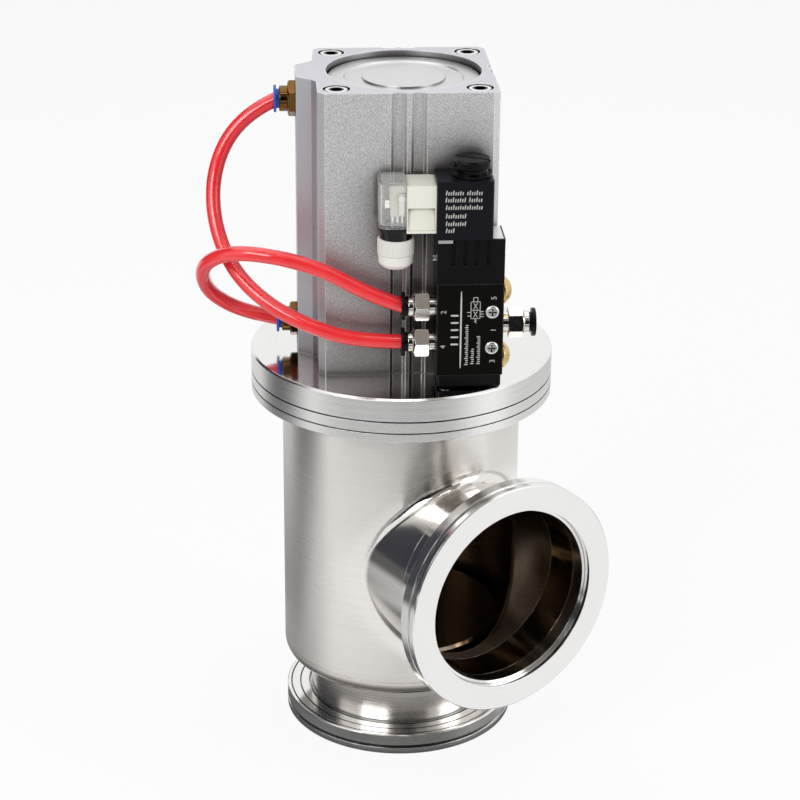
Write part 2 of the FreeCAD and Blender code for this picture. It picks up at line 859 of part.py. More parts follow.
def hollow_end(body, end_z, bottom_z):
    """Bore a push-in body from its open end: collar seat, tube bore and air passage."""
    seat_z = end_z - collar_insert - collar_travel - collar_seat_play
    body = body.cut(cylinder(collar_r + bore_clearance, seat_z, end_z + 1))
    return body.cut(cylinder(air_passage_r, bottom_z - 1, end_z + 1))


def make_brass_body():
    """Push-in body along +Z from its seat: thread, hexagon and dome."""
    end_z = brass_hex_height + brass_dome_height
    body = cylinder(port_thread_r, -port_thread_depth + 0.5, 0)
    body = body.fuse(bevelled_hexagon(brass_hex_af, 0, brass_hex_height, brass_hex_bevel))
    dome = cylinder(brass_dome_r, brass_hex_height, end_z)
    dome = dome.makeFillet(0.6, circles(dome, brass_dome_r, end_z))
    return hollow_end(body.fuse(dome), end_z, -port_thread_depth)


def make_nickel_body():
    """Push-in body along +Z from its seat: thread, neck, hexagon and tapered end."""
    hex_z = nickel_neck_height
    dome_z = hex_z + nickel_hex_height
    end_z = dome_z + nickel_dome_height
    body = cylinder(nickel_thread_r, -nickel_thread_depth + 0.5, 0)
    body = body.fuse(cylinder(nickel_neck_r, 0, hex_z))
    body = body.fuse(bevelled_hexagon(nickel_hex_af, hex_z, dome_z, nickel_hex_bevel))
    dome = cylinder(nickel_dome_r, dome_z, end_z)
    dome = dome.makeFillet(0.3, circles(dome, nickel_dome_r, end_z))
    return hollow_end(body.fuse(dome), end_z, -nickel_thread_depth)


def make_collar(end_z, rim, thick):
    """Release collar of a body that ends at end_z: sleeve inside, flange outside."""
    sleeve_z = end_z - collar_insert
    flange_z = end_z + collar_travel + collar_gap
    top_z = flange_z + thick
    collar = cylinder(collar_r, sleeve_z, top_z).fuse(cylinder(rim, flange_z, top_z))
    collar = collar.removeSplitter()
    collar = collar.makeFillet(0.5, circles(collar, rim, top_z))
    bore = tube_r + bore_clearance
    collar = collar.cut(cylinder(bore, sleeve_z - 1, top_z + 1))
    flare = Part.makeCone(bore, bore + mouth_flare, mouth_depth, V(0, 0, top_z - mouth_depth))
    return collar.cut(flare)


def brass_places():
    """Seat and outward direction of the upper and the lower cylinder port."""
    return [((boss_x, 0, z), (-1, 0, 0)) for z in (port_high_z, port_low_z)]


def nickel_places():
    """Seat, outward direction and hexagon turn of both working ports and the supply port."""
    return [
        ((valve_left, valve_y, block_mid_z - port_spread), (-1, 0, 0), working_port_turn),
        ((valve_left, valve_y, block_mid_z + port_spread), (-1, 0, 0), working_port_turn),
        ((valve_right, valve_y, block_mid_z), (1, 0, 0), supply_port_turn),
    ]


def valve_screw_levels():
    return block_mid_z - port_spread, block_mid_z + port_spread


def end_cap_screw_places():
    x, y = end_cap_screw_x, end_cap_screw_y
    return [(valve_centre_x + i * x, valve_y + j * y) for i in (-1, 1) for j in (-1, 1)]


def make_valve_block():
    body = block(valve_left, valve_right, valve_front, valve_back, block_z, block_top_z)
    edges = [e for e in body.Edges if abs(e.Vertexes[0].Z - e.Vertexes[-1].Z) > 1]
    body = body.makeChamfer(edge_break, edges)
    body = body.cut(cylinder(spool_bore_r, block_z - 1, block_top_z + 1, valve_centre_x, valve_y))
    for seat, way, _ in nickel_places():
        inward = V(-way[0], 0, 0)
        body = body.cut(Part.makeCylinder(nickel_thread_r, nickel_thread_depth, V(*seat), inward))
        body = body.cut(Part.makeCylinder(air_passage_r, valve_width / 2, V(*seat), inward))
    for z in (block_mid_z - exhaust_spread, block_mid_z + exhaust_spread):
        seat = V(valve_right, valve_y, z)
        thread = Part.makeCylinder(nickel_thread_r, silencer_thread_depth, seat, V(-1, 0, 0))
        passage = Part.makeCylinder(air_passage_r, valve_width / 2, seat, V(-1, 0, 0))
        body = body.cut(thread).cut(passage)
    for z in valve_screw_levels():
        seat = V(valve_centre_x + valve_screw_x, valve_front, z)
        sink = pan_head_height - valve_screw_proud
        hole_r = valve_screw_r + shank_clearance / 2
        body = body.cut(Part.makeCylinder(hole_r, valve_depth, seat, V(0, 1, 0)))
        well_r = pan_head_r + shank_clearance / 2
        body = body.cut(Part.makeCylinder(well_r, sink, seat, V(0, 1, 0)))
    for x, y in end_cap_screw_places():
        depth = block_z + end_cap_thick
        body = body.cut(cylinder(end_cap_screw_r, block_z - 1, depth, x, y))
    return body


def make_valve_screws():
    sink = pan_head_height - valve_screw_proud
    reach = valve_depth - sink + valve_screw_bite
    screw = cross_screw(valve_screw_r, reach)
    x, y = valve_centre_x + valve_screw_x, valve_front + sink
    return [aim(screw, (x, y, z), (0, 1, 0)) for z in valve_screw_levels()]


def make_end_cap():
    s = end_cap_shrink
    z0 = block_z - end_cap_thick
    cap = block(valve_left + s, valve_right - s, valve_front + s / 2, valve_back - s / 2, z0, block_z)
    edges = [e for e in cap.Edges if abs(e.Vertexes[0].Z - e.Vertexes[-1].Z) > 1]
    cap = cap.makeFillet(2 * edge_break, edges)
    cap = cap.cut(cylinder(spring_coil_r + 1, block_z - spring_pocket, block_z + 1,
                           valve_centre_x, valve_y))
    for x, y in end_cap_screw_places():
        head_r = head_radius(end_cap_screw_r) + shank_clearance / 2
        sink = head_height(end_cap_screw_r) - 0.4
        cap = cap.cut(cylinder(end_cap_screw_r + shank_clearance / 2, z0 - 1, block_z + 1, x, y))
        cap = cap.cut(cylinder(head_r, z0 - 1, z0 + sink, x, y))
    return cap


def make_end_cap_screws():
    seat = block_z - end_cap_thick + head_height(end_cap_screw_r) - 0.4
    screw = socket_screw(end_cap_screw_r, block_z + end_cap_thick - seat - 0.5)
    return [screw.translated(V(x, y, seat)) for x, y in end_cap_screw_places()]


def spool_top_z():
    return block_top_z - spool_top_gap


def make_spool():
    """Lands evenly spaced on a slimmer waist."""
    r = spool_bore_r - slide_clearance
    top = spool_top_z()
    bottom = top - spool_length
    pitch = (spool_length - spool_land) / (spool_land_count - 1)
    outline = [(0, bottom)]
    for i in range(spool_land_count):
        z = bottom + i * pitch
        outline += [(r, z), (r, z + spool_land)]
        if i < spool_land_count - 1:
            outline += [(spool_waist_r, z + spool_land), (spool_waist_r, z + pitch)]
    outline.append((0, top))
    return lathe(outline).translated(V(valve_centre_x, valve_y, 0))


def spring_span():
    bottom = block_z - spring_pocket
    return bottom, spool_top_z() - spool_length


def make_spool_spring():
    """Round wire on a helix, between the end cap and the spool."""
    bottom, top = spring_span()
    z0 = bottom + spring_wire_r
    height = top - bottom - 2 * spring_wire_r
    helix = Part.makeHelix(height / spring_turns, height, spring_coil_r)
    section = Part.Wire(Part.makeCircle(spring_wire_r, V(spring_coil_r, 0, 0), V(0, 1, 0)))
    coil = Part.Wire(helix).makePipeShell([section], True, True)
    return coil.translated(V(valve_centre_x, valve_y, z0))


def button_z():
    return pilot_top_z - button_drop


def make_button():
    """Manual override pin with a slot across its face."""
    x0 = valve_left - button_proud
    r = button_r - slide_clearance
    pin = Part.makeCylinder(r, button_length, V(x0, valve_y, button_z()), V(1, 0, 0))
    return pin.cut(block(x0 - 1, x0 + 0.7, valve_y - r, valve_y + r, button_z() - 0.4, button_z() + 0.4))


def pilot_lip(play):
    """Low wall in front of the coil plate and on its right, grown inwards by the play."""
    x0 = valve_left + pilot_lip_start - play
    x1 = valve_right - pilot_lip_side - play
    y1 = valve_front + pilot_lip_thick + play
    front = block(x0, valve_right, valve_front, y1, pilot_top_z, plate_top_z)
    return front.fuse(block(x1, valve_right, valve_front, valve_back, pilot_top_z, plate_top_z))


def make_pilot_head():
    """Moulded head with a lip and vertical slots at its front."""
    body = block(valve_left, valve_right, valve_front, valve_back, block_top_z, pilot_top_z)
    edges = [e for e in body.Edges if abs(e.Vertexes[0].Z - e.Vertexes[-1].Z) > 1]
    body = body.makeFillet(edge_break, edges).fuse(pilot_lip(0)).removeSplitter()
    slot_z = pilot_top_z - pilot_slot_drop
    for i in range(pilot_slot_count):
        x = valve_left + pilot_slot_start + i * pilot_slot_pitch
        body = body.cut(block(x, x + pilot_slot_width, valve_front - 1, valve_front + pilot_slot_depth,
                              slot_z, plate_top_z + 1))
    r = armature_flange_r + seat_clearance
    body = body.cut(cylinder(r, pilot_top_z - armature_flange_thick, pilot_top_z + 1,
                             armature_x, valve_y))
    depth = button_length - button_proud + button_travel + collar_gap
    hole = Part.makeCylinder(button_r, depth, V(valve_left, valve_y, button_z()), V(1, 0, 0))
    return body.cut(hole)


def make_coil_plate():
    """Steel plate that clamps the armature tube on the pilot head."""
    s = plate_inset
    plate = block(valve_left + s, valve_right - s, valve_front, valve_back - s,
                  pilot_top_z, plate_top_z).cut(pilot_lip(slide_clearance))
    return plate.cut(cylinder(armature_tube_r + seat_clearance, pilot_top_z - 1, plate_top_z + 1,
                              armature_x, valve_y))


def make_armature_tube():
    x, y = armature_x, valve_y
    z0 = pilot_top_z - armature_flange_thick
    top = z0 + armature_top + armature_flange_thick
    body = cylinder(armature_flange_r, z0, pilot_top_z, x, y)
    body = body.fuse(cylinder(armature_tube_r, pilot_top_z, top, x, y))
    cavity_r = armature_tube_r - armature_wall
    return body.cut(cylinder(cavity_r, z0 - 1, plunger_top_z() + plunger_travel + 0.5, x, y))


def plunger_bottom_z():
    return pilot_top_z - armature_flange_thick + 0.3


def plunger_top_z():
    return plunger_bottom_z() + plunger_length


def make_plunger():
    r = armature_tube_r - armature_wall - bore_clearance
    return cylinder(r, plunger_bottom_z(), plunger_top_z(), armature_x, valve_y)


def make_coil():
    back = valve_back - coil_back_gap
    coil = block(coil_left, coil_left + coil_width, back - coil_depth, back,
                 plate_top_z, coil_top_z)
    edges = [e for e in coil.Edges if abs(e.Vertexes[0].Z - e.Vertexes[-1].Z) > 1]
    coil = coil.makeFillet(coil_corner, edges)
    hole = cylinder(armature_tube_r + seat_clearance, plate_top_z - 1, coil_top_z + 1,
                    armature_x, valve_y)
    screw_hole = Part.makeCylinder(connector_screw_r, connector_screw_x - coil_left,
                                   V(coil_left, valve_y, connector_screw_z()), V(1, 0, 0))
    return cut_blades(coil.cut(hole).cut(screw_hole))


def connector_screw_z():
    return base_top_z - base_height / 2


def make_coil_nut():
    """Slotted plastic nut with a waist above its base ring."""
    z0 = coil_top_z
    z1 = z0 + nut_base_height
    z2 = z1 + nut_waist_height
    z3 = z2 + nut_head_height
    bore = armature_tube_r + seat_clearance
    bore_top = pilot_top_z + armature_top + 0.3
    c = 0.8
    nut = lathe([
        (bore, z0), (nut_base_r, z0), (nut_base_r, z1), (nut_waist_r, z1), (nut_waist_r, z2),
        (nut_head_r, z2 + c), (nut_head_r, z3 - c), (nut_head_r - c, z3), (0, z3),
        (0, bore_top), (bore, bore_top),
    ])
    half = nut_slot_width / 2
    nut = nut.cut(block(-nut_head_r, nut_head_r, -half, half, z3 - nut_slot_depth, z3 + 1))
    nut.rotate(V(0, 0, 0), UP, nut_slot_turn)
    return nut.translated(V(armature_x, valve_y, 0))


def make_connector_base():
    """Socket housing against the coil, open towards the hood, with a slanted finger recess."""
    half = base_depth / 2
    y0, y1 = valve_y - half, valve_y + half
    base = block(base_left, coil_left, y0, y1, base_bottom_z, base_top_z)
    w = base_wall
    base = base.cut(block(base_left - 1, coil_left - w, y0 + w, y1 - w,
                          base_bottom_z + w, base_top_z - w))
    m = panel_margin
    z0, z1 = base_bottom_z + m, base_bottom_z + m + panel_height
    x0, x1 = base_left + m / 2, coil_left - m / 2
    side = [(y0 - 1, z0), (y0 + panel_foot, z0), (y0 + panel_depth, z1), (y0 - 1, z1)]
    wire = Part.makePolygon([V(x0, y, z) for y, z in side + side[:1]])
    base = base.cut(Part.Face(wire).extrude(V(x1 - x0, 0, 0)))
    hole = Part.makeCylinder(connector_screw_r + shank_clearance / 2, 4 * w,
                             V(coil_left - 2 * w, valve_y, connector_screw_z()), V(1, 0, 0))
    return cut_blades(base.cut(hole))


def make_connector_cover():
    """Clear rounded hood with the threaded stub for the cable gland below it."""
    half = cover_depth / 2
    y0, y1 = valve_y - half, valve_y + half
    z0, z1 = cover_bottom_edge_z, cover_top_edge_z
    hood = block(cover_left, base_left, y0, y1, z0, z1)
    outer = [e for e in hood.Edges if edge_runs(e, 2) and edge_at(e, 0, cover_left)]
    hood = hood.makeFillet(cover_corner, outer)
    w = cover_wall
    inner = block(cover_left + w, base_left + 1, y0 + w, y1 - w, z0 + w, z1 - w)
    corner = [e for e in inner.Edges if edge_runs(e, 2) and edge_at(e, 0, cover_left + w)]
    inner = inner.makeFillet(cover_corner - w, corner)
    stub = cylinder(stub_r, z0 - stub_height, z0 + w, cable_x, valve_y)
    hood = hood.fuse(stub.cut(base_keep_out())).cut(inner)
    return hood.cut(cylinder(stub_r - stub_wall, z0 - stub_height - 1, z0 + w + 1, cable_x, valve_y))


def edge_runs(edge, axis):
    """True where a straight edge runs along the axis numbered 0, 1 or 2."""
    a, b = edge.Vertexes[0].Point, edge.Vertexes[-1].Point
    return all(abs(a[i] - b[i]) < 0.01 for i in range(3) if i != axis)


def edge_at(edge, axis, value):
    return abs(edge.Vertexes[0].Point[axis] - value) < 0.01


def cut_blades(shape):
    for slot in blade_boxes(bore_clearance):
        shape = shape.cut(slot)
    return shape


def make_terminal_insert():
    """Contact carrier that fills the socket housing and reaches into the clear cover."""
    w = base_wall + seat_clearance
    half = base_depth / 2
    y0, y1 = valve_y - half + w, valve_y + half - w
    z0, z1 = base_bottom_z + w, base_top_z - w
    x1 = coil_left - w
    insert = block(base_left, x1, y0, y1, z0, z1)
    reach = block(base_left - insert_length, base_left, y0 + insert_drop, y1 - insert_drop,
                  z0 + insert_foot, z1 - insert_drop)
    insert = insert.fuse(reach).removeSplitter()
    hole = Part.makeCylinder(connector_screw_r + shank_clearance / 2, base_length + cover_length,
                             V(cover_left, valve_y, connector_screw_z()), V(1, 0, 0))
    insert = insert.cut(hole)
    for side in (-1, 1):
        y = valve_y + side * (y1 - y0) / 4
        z = z1 - clamp_well_drop
        seat = V(base_left - insert_length, y, z)
        insert = insert.cut(Part.makeCylinder(clamp_well_r, clamp_well_depth, seat, V(1, 0, 0)))
    return cut_blades(insert)


def blade_boxes(play):
    """Space of the three flat contacts, grown all round by the play."""
    across, thick = blade_width / 2 + play, blade_thick / 2 + play
    x0, x1 = coil_left - blade_length - play, coil_left + 1
    z = connector_screw_z()
    boxes = []
    for side in (-1, 1):
        y = valve_y + side * blade_spread
        boxes.append(block(x0, x1, y - thick, y + thick, z - across, z + across))
    low = z - 2 * blade_spread + blade_width / 2
    boxes.append(block(x0, x1, valve_y - across, valve_y + across, low - thick, low + thick))
    return boxes


def make_connector_screw():
    seat_x = base_left - insert_length
    screw = socket_screw(connector_screw_r, connector_screw_x - seat_x)
    return aim(screw, (seat_x, valve_y, connector_screw_z()), (1, 0, 0))


def base_keep_out():
    """Space that the socket housing takes up beside the hood, with play below it."""
    half = base_depth / 2
    x0, z0 = base_left - seat_clearance, base_bottom_z - base_play
    return block(x0, coil_left, valve_y - half, valve_y + half, z0, base_top_z)


def make_gasket():
    """Stepped washer between the hood and the nut, cut away beside the housing."""
    z1 = cover_bottom_edge_z
    ring = tube(gasket_r, stub_r + seat_clearance, z1 - gasket_thick, z1, cable_x, valve_y)
    neck = tube(gasket_neck_r, stub_r + seat_clearance, gland_nut_top_z(), z1, cable_x, valve_y)
    return ring.fuse(neck).removeSplitter().cut(base_keep_out())


def gland_nut_top_z():
    return base_bottom_z - gland_nut_drop


def make_gland_nut():
    """Domed cable gland nut over the cover's stub."""
    top = gland_nut_top_z()
    bottom = top - gland_nut_height
    foot = bottom + gland_nut_foot
    g = gland_nut_groove
    r = gland_nut_r
    stub_end = cover_bottom_edge_z - stub_height
    bore = stub_r + seat_clearance
    floor = stub_end - cable_seal_height
    outline = [
        (bore, top), (r - g, top), (r, top - g), (r, foot + g), (r - g, foot), (r - 0.2, foot - g),
        (r - 0.5, bottom + 2.6), (r - 2.2, bottom + 0.7), (r - 3.6, bottom), (cable_hole_r, bottom),
        (cable_hole_r, floor), (bore, floor),
    ]
    return lathe(outline).translated(V(cable_x, valve_y, 0))


def make_cable_seal():
    stub_end = cover_bottom_edge_z - stub_height
    return tube(stub_r - 0.4, cable_hole_r + 0.3, stub_end - cable_seal_height, stub_end,
                cable_x, valve_y)


def make_silencers():
    """Low sintered domes over the two exhaust ports."""
    dome_r = (silencer_r ** 2 + silencer_dome ** 2) / (2 * silencer_dome)
    ball = Part.makeSphere(dome_r, V(0, 0, silencer_flange + silencer_dome - dome_r))
    cap = ball.common(cylinder(silencer_r, silencer_flange, silencer_flange + silencer_dome + 1))
    one = cylinder(nickel_thread_r, -silencer_thread_depth + 0.5, 0)
    one = one.fuse(cylinder(silencer_r, 0, silencer_flange)).fuse(cap)
    places = [block_mid_z - exhaust_spread, block_mid_z + exhaust_spread]
    return [aim(one, (valve_right, valve_y, z), (1, 0, 0)) for z in places]


def make_hose(name, route):
    """Round hose on straight runs joined by tangent arcs through a hand-picked route."""
    points = [V(*p) for p in route]
    edges = []
    radii = []
    last = points[0]
    for before, corner, after in zip(points, points[1:], points[2:]):
        back = (before - corner).normalize()
        ahead = (after - corner).normalize()
        run = min((before - corner).Length, (after - corner).Length)
        cut = arc_share * run
        half_turn = (math.pi - back.getAngle(ahead)) / 2
        radii.append(cut / math.tan(half_turn))
        start, end = corner + back * cut, corner + ahead * cut
        middle = (back + ahead).normalize()
        bulge = radii[-1] / math.cos(half_turn) - radii[-1]
        edges.append(Part.LineSegment(last, start).toShape())
        edges.append(Part.Arc(start, corner + middle * bulge, end).toShape())
        last = end
    edges.append(Part.LineSegment(last, points[-1]).toShape())
    path = Part.Wire(edges)
    way = (points[1] - points[0]).normalize()
    section = Part.Wire(Part.makeCircle(tube_r, points[0], way))
    hose = path.makePipeShell([section], True, True)
    expected = math.pi * tube_r ** 2 * path.Length
    print(name, "length", round(path.Length, 1), "radii", [round(r) for r in radii],
          "volume ratio", round(hose.Volume / expected, 4))
    return hose


def body_parts():
    """Nodes that stand in the part's own frame."""
    flange = port_flange()
    return {
        "lower_flange": flange,
        "lower_neck": make_lower_neck(),
        "body_floor": make_body_floor(),
        "body_wall": make_body_wall(),
        "side_neck": make_side_neck(),
        "side_flange": side_place(flange),
        "body_top_flange": make_body_flange(),
        "bonnet_plate": make_bonnet_plate(),
        "bonnet_oring": seal_ring(bonnet_seal_pitch_r, bonnet_seal_r, joint_z - bonnet_seal_r),
        "bonnet_screws": make_bonnet_screws(),
        "gland_bush": make_gland_bush(),
        "gland_orings": make_gland_seals(),
        "gland_screws": make_gland_screws(),
        "valve_disc": make_valve_disc(),
        "disc_oring": seal_ring(disc_seal_pitch_r, disc_seal_r, seat_z + disc_seal_gap + disc_seal_r),
        "disc_screw": socket_screw(disc_screw_r, disc_screw_bite).translated(
            V(0, 0, disc_screw_seat_z())),
        "valve_stem": make_valve_stem(),
    }


def actuator_parts():
    """Nodes that turn with the cylinder."""
    parts = {
        "cylinder_barrel": make_barrel(),
        "cylinder_bolts": make_corner_bolts(),
        "rear_cap": make_rear_cap(),
        "rear_cap_oring": seal_ring(cap_r - seat_clearance - cap_seal_r, cap_seal_r, cap_seal_z()),
        "front_cover": make_front_cover(),
        "front_cover_circlip": make_circlip(),
        "front_cover_oring": seal_ring(bore_r - seat_clearance - cover_seal_r, cover_seal_r,
                                       (cover_bottom_z + cover_step_z) / 2),
        "rod_seal": make_rod_seal(),
        "piston": make_piston(),
        "piston_seals": make_piston_seals(),
        "piston_nut": make_piston_nut(),
        "valve_block": make_valve_block(),
        "valve_screws": make_valve_screws(),
        "end_cap": make_end_cap(),
        "end_cap_screws": make_end_cap_screws(),
        "spool": make_spool(),
        "spool_spring": make_spool_spring(),
        "pilot_head": make_pilot_head(),
        "override_button": make_button(),
        "coil_plate": make_coil_plate(),
        "armature_tube": make_armature_tube(),
        "plunger": make_plunger(),
        "coil": make_coil(),
        "coil_terminals": blade_boxes(0),
        "coil_nut": make_coil_nut(),
        "connector_base": make_connector_base(),
        "connector_cover": make_connector_cover(),
        "terminal_insert": make_terminal_insert(),
        "connector_screw": make_connector_screw(),
        "connector_gasket": make_gasket(),
        "gland_nut": make_gland_nut(),
        "cable_seal": make_cable_seal(),
        "silencers": make_silencers(),
        "tube_upper": make_hose("upper tube", upper_route),
        "tube_lower": make_hose("lower tube", lower_route),
    }
    brass = make_brass_body()
    parts["brass_fittings"] = [aim(brass, seat, way) for seat, way in brass_places()]
    brass_end = brass_hex_height + brass_dome_height
    brass_collar = make_collar(brass_end, brass_flange_r, brass_flange_thick)
    for name, (seat, way) in zip(("upper", "lower"), brass_places()):
        parts[name + "_collar"] = aim(brass_collar, seat, way)
    nickel = make_nickel_body()
    parts["nickel_fittings"] = [aim(spun(nickel, turn), *place) for *place, turn in nickel_places()]
    nickel_end = nickel_neck_height + nickel_hex_height + nickel_dome_height
    nickel_collar = make_collar(nickel_end, nickel_flange_r, nickel_flange_thick)
    for name, (seat, way, _) in zip(("port_a", "port_b", "supply"), nickel_places()):
        parts[name + "_collar"] = aim(nickel_collar, seat, way)
    return parts


def write(name, shape):
    solids = shape if isinstance(shape, list) else [shape]
    result = Part.makeCompound(solids) if len(solids) > 1 else solids[0]
    result.exportStep("parts/" + name + ".step")


def turn_actuator(shape):
    if isinstance(shape, list):
        return [turn_actuator(one) for one in shape]
    turned_shape = shape.copy()
    turned_shape.rotate(V(0, 0, 0), UP, actuator_turn)
    return turned_shape


os.makedirs("parts", exist_ok=True)
for node, made in body_parts().items():
    write(node, made)
for node, made in actuator_parts().items():
    write(node, turn_actuator(made))
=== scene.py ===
import math

import bmesh
import bpy
from mathutils import Matrix, Vector


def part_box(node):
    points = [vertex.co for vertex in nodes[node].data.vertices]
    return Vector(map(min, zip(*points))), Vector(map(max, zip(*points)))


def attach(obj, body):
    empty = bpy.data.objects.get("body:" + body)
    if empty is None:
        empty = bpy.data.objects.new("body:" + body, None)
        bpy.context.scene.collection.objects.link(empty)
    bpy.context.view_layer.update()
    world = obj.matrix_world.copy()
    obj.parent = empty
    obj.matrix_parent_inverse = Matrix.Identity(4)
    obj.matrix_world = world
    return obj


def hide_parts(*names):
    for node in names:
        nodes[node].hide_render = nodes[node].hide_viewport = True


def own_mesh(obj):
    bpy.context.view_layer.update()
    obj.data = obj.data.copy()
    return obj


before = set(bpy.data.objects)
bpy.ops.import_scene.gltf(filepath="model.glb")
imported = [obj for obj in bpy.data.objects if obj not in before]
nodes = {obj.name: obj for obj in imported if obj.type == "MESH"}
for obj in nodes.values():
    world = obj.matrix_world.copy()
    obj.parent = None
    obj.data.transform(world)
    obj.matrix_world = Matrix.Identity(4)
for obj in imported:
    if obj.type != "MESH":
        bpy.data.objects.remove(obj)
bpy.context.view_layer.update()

# The object: a right-angle vacuum valve with a pneumatic cylinder and a solenoid valve on top.
# Lengths are metres. The cylinder and what it carries are turned about +Z by ACTUATOR_TURN.
MM = 0.001
ACTUATOR_TURN = math.radians(-30)
SIDE_PORT_Z = 0.1125
TUBE_DIAMETER = 0.008
ACTUATOR_SIDE = (math.cos(ACTUATOR_TURN), math.sin(ACTUATOR_TURN), 0.0)
ACTUATOR_FRONT = (math.sin(ACTUATOR_TURN), -math.cos(ACTUATOR_TURN), 0.0)
BOLT_HALF_PITCH = 0.037
BARREL_FRONT_FROM, BARREL_FRONT_FULL = 0.040, 0.042
SPOOL_PLACE = (31.1, -58.0, 0.0)

# Radii that bound the bores of the body and the necks, where shade and warm reflections are
# painted, and the drawn neck's reach
SHELL_BORE = 0.0646
NECK_BORE = 0.0504
SIDE_BORE = 0.0506
DRAWN_NECK_FULL, DRAWN_NECK_END = 0.0555, 0.0630
DRAWN_NECK_ROUGHNESS = 0.13
# Painted shade and warm reflections in the bores, from darker to lighter
BORE_SHADE_DARK = (0.36, 0.28, 0.21)
BORE_SHADE_LIGHT = (0.50, 0.41, 0.33)

# Camera: place, heading from +Y towards +X, angle below the horizon, roll
CAMERA_PLACE = (-0.6765, -1.0077, 0.6990)
CAMERA_HEADING = math.radians(33.85)
CAMERA_DIP = math.radians(22.78)
CAMERA_ROLL = math.radians(0.47)
CAMERA_LENS = 106.07

# Centre lines of the two air tubes in the actuator's own directions, from the cylinder port
# to the solenoid valve
UPPER_ROUTE = [
    (-66.5, 0.0, 363.4), (-79.0, -0.5, 358.0), (-94.5, -2.5, 342.5), (-102.2, -7.0, 320.5),
    (-101.0, -17.0, 298.0), (-91.5, -33.0, 278.5), (-73.0, -48.0, 264.5), (-50.5, -56.5, 255.0),
    (-26.5, -58.0, 247.8), (-3.2, -58.0, 247.1),
]
LOWER_ROUTE = [
    (-66.5, 0.0, 239.2), (-78.5, -0.5, 242.0), (-95.0, -4.5, 249.5), (-107.0, -15.0, 263.0),
    (-108.5, -33.0, 282.5), (-94.0, -50.0, 295.5), (-69.5, -59.5, 296.0), (-44.0, -57.0, 287.0),
    (-21.0, -58.0, 273.5), (-3.2, -58.0, 267.1),
]


def deselect():
    if bpy.context.object and bpy.context.object.mode != "OBJECT":
        bpy.ops.object.mode_set(mode="OBJECT")
    bpy.ops.object.select_all(action="DESELECT")


def on_actuator(x, y, z):
    """A place given in millimetres in the actuator's own directions, as it lies in the frame."""
    c, s = math.cos(ACTUATOR_TURN), math.sin(ACTUATOR_TURN)
    return Vector((x * c - y * s, x * s + y * c, z)) * MM


def make_camera():
    data = bpy.data.cameras.new("camera")
    data.lens = CAMERA_LENS
    data.clip_end = 20
    camera = bpy.data.objects.new("camera", data)
    bpy.context.scene.collection.objects.link(camera)
    h, d, r = CAMERA_HEADING, CAMERA_DIP, CAMERA_ROLL
    ahead = Vector((math.sin(h) * math.cos(d), math.cos(h) * math.cos(d), -math.sin(d)))
    right = Vector((math.cos(h), -math.sin(h), 0))
    up = right.cross(ahead)
    right, up = (math.cos(r) * right + math.sin(r) * up, math.cos(r) * up - math.sin(r) * right)
    turn = Matrix((right, up, -ahead)).transposed()
    camera.matrix_world = Matrix.Translation(CAMERA_PLACE) @ turn.to_4x4()
    bpy.context.scene.camera = camera


def make_air_tube(name, route):
    curve = bpy.data.curves.new(name, "CURVE")
    curve.dimensions = "3D"
    curve.bevel_depth = 1.0  # the points' own radius sets the tube's, and keeps its box true
    curve.bevel_resolution = 6
    curve.resolution_u = 16
    curve.use_fill_caps = True
    spline = curve.splines.new("NURBS")
    spline.points.add(len(route) - 1)
    for point, place in zip(spline.points, route):
        point.co = (*on_actuator(*place), 1)
        point.radius = TUBE_DIAMETER / 2
    spline.order_u = 3
    spline.use_endpoint_u = True
    tube = bpy.data.objects.new(name, curve)
    bpy.context.scene.collection.objects.link(tube)
    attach(tube, "valve")
    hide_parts(name.replace("air_tube", "tube"))
    return tube


deselect()
make_camera()
air_tubes = [
    make_air_tube("air_tube_upper", UPPER_ROUTE),
    make_air_tube("air_tube_lower", LOWER_ROUTE),
]


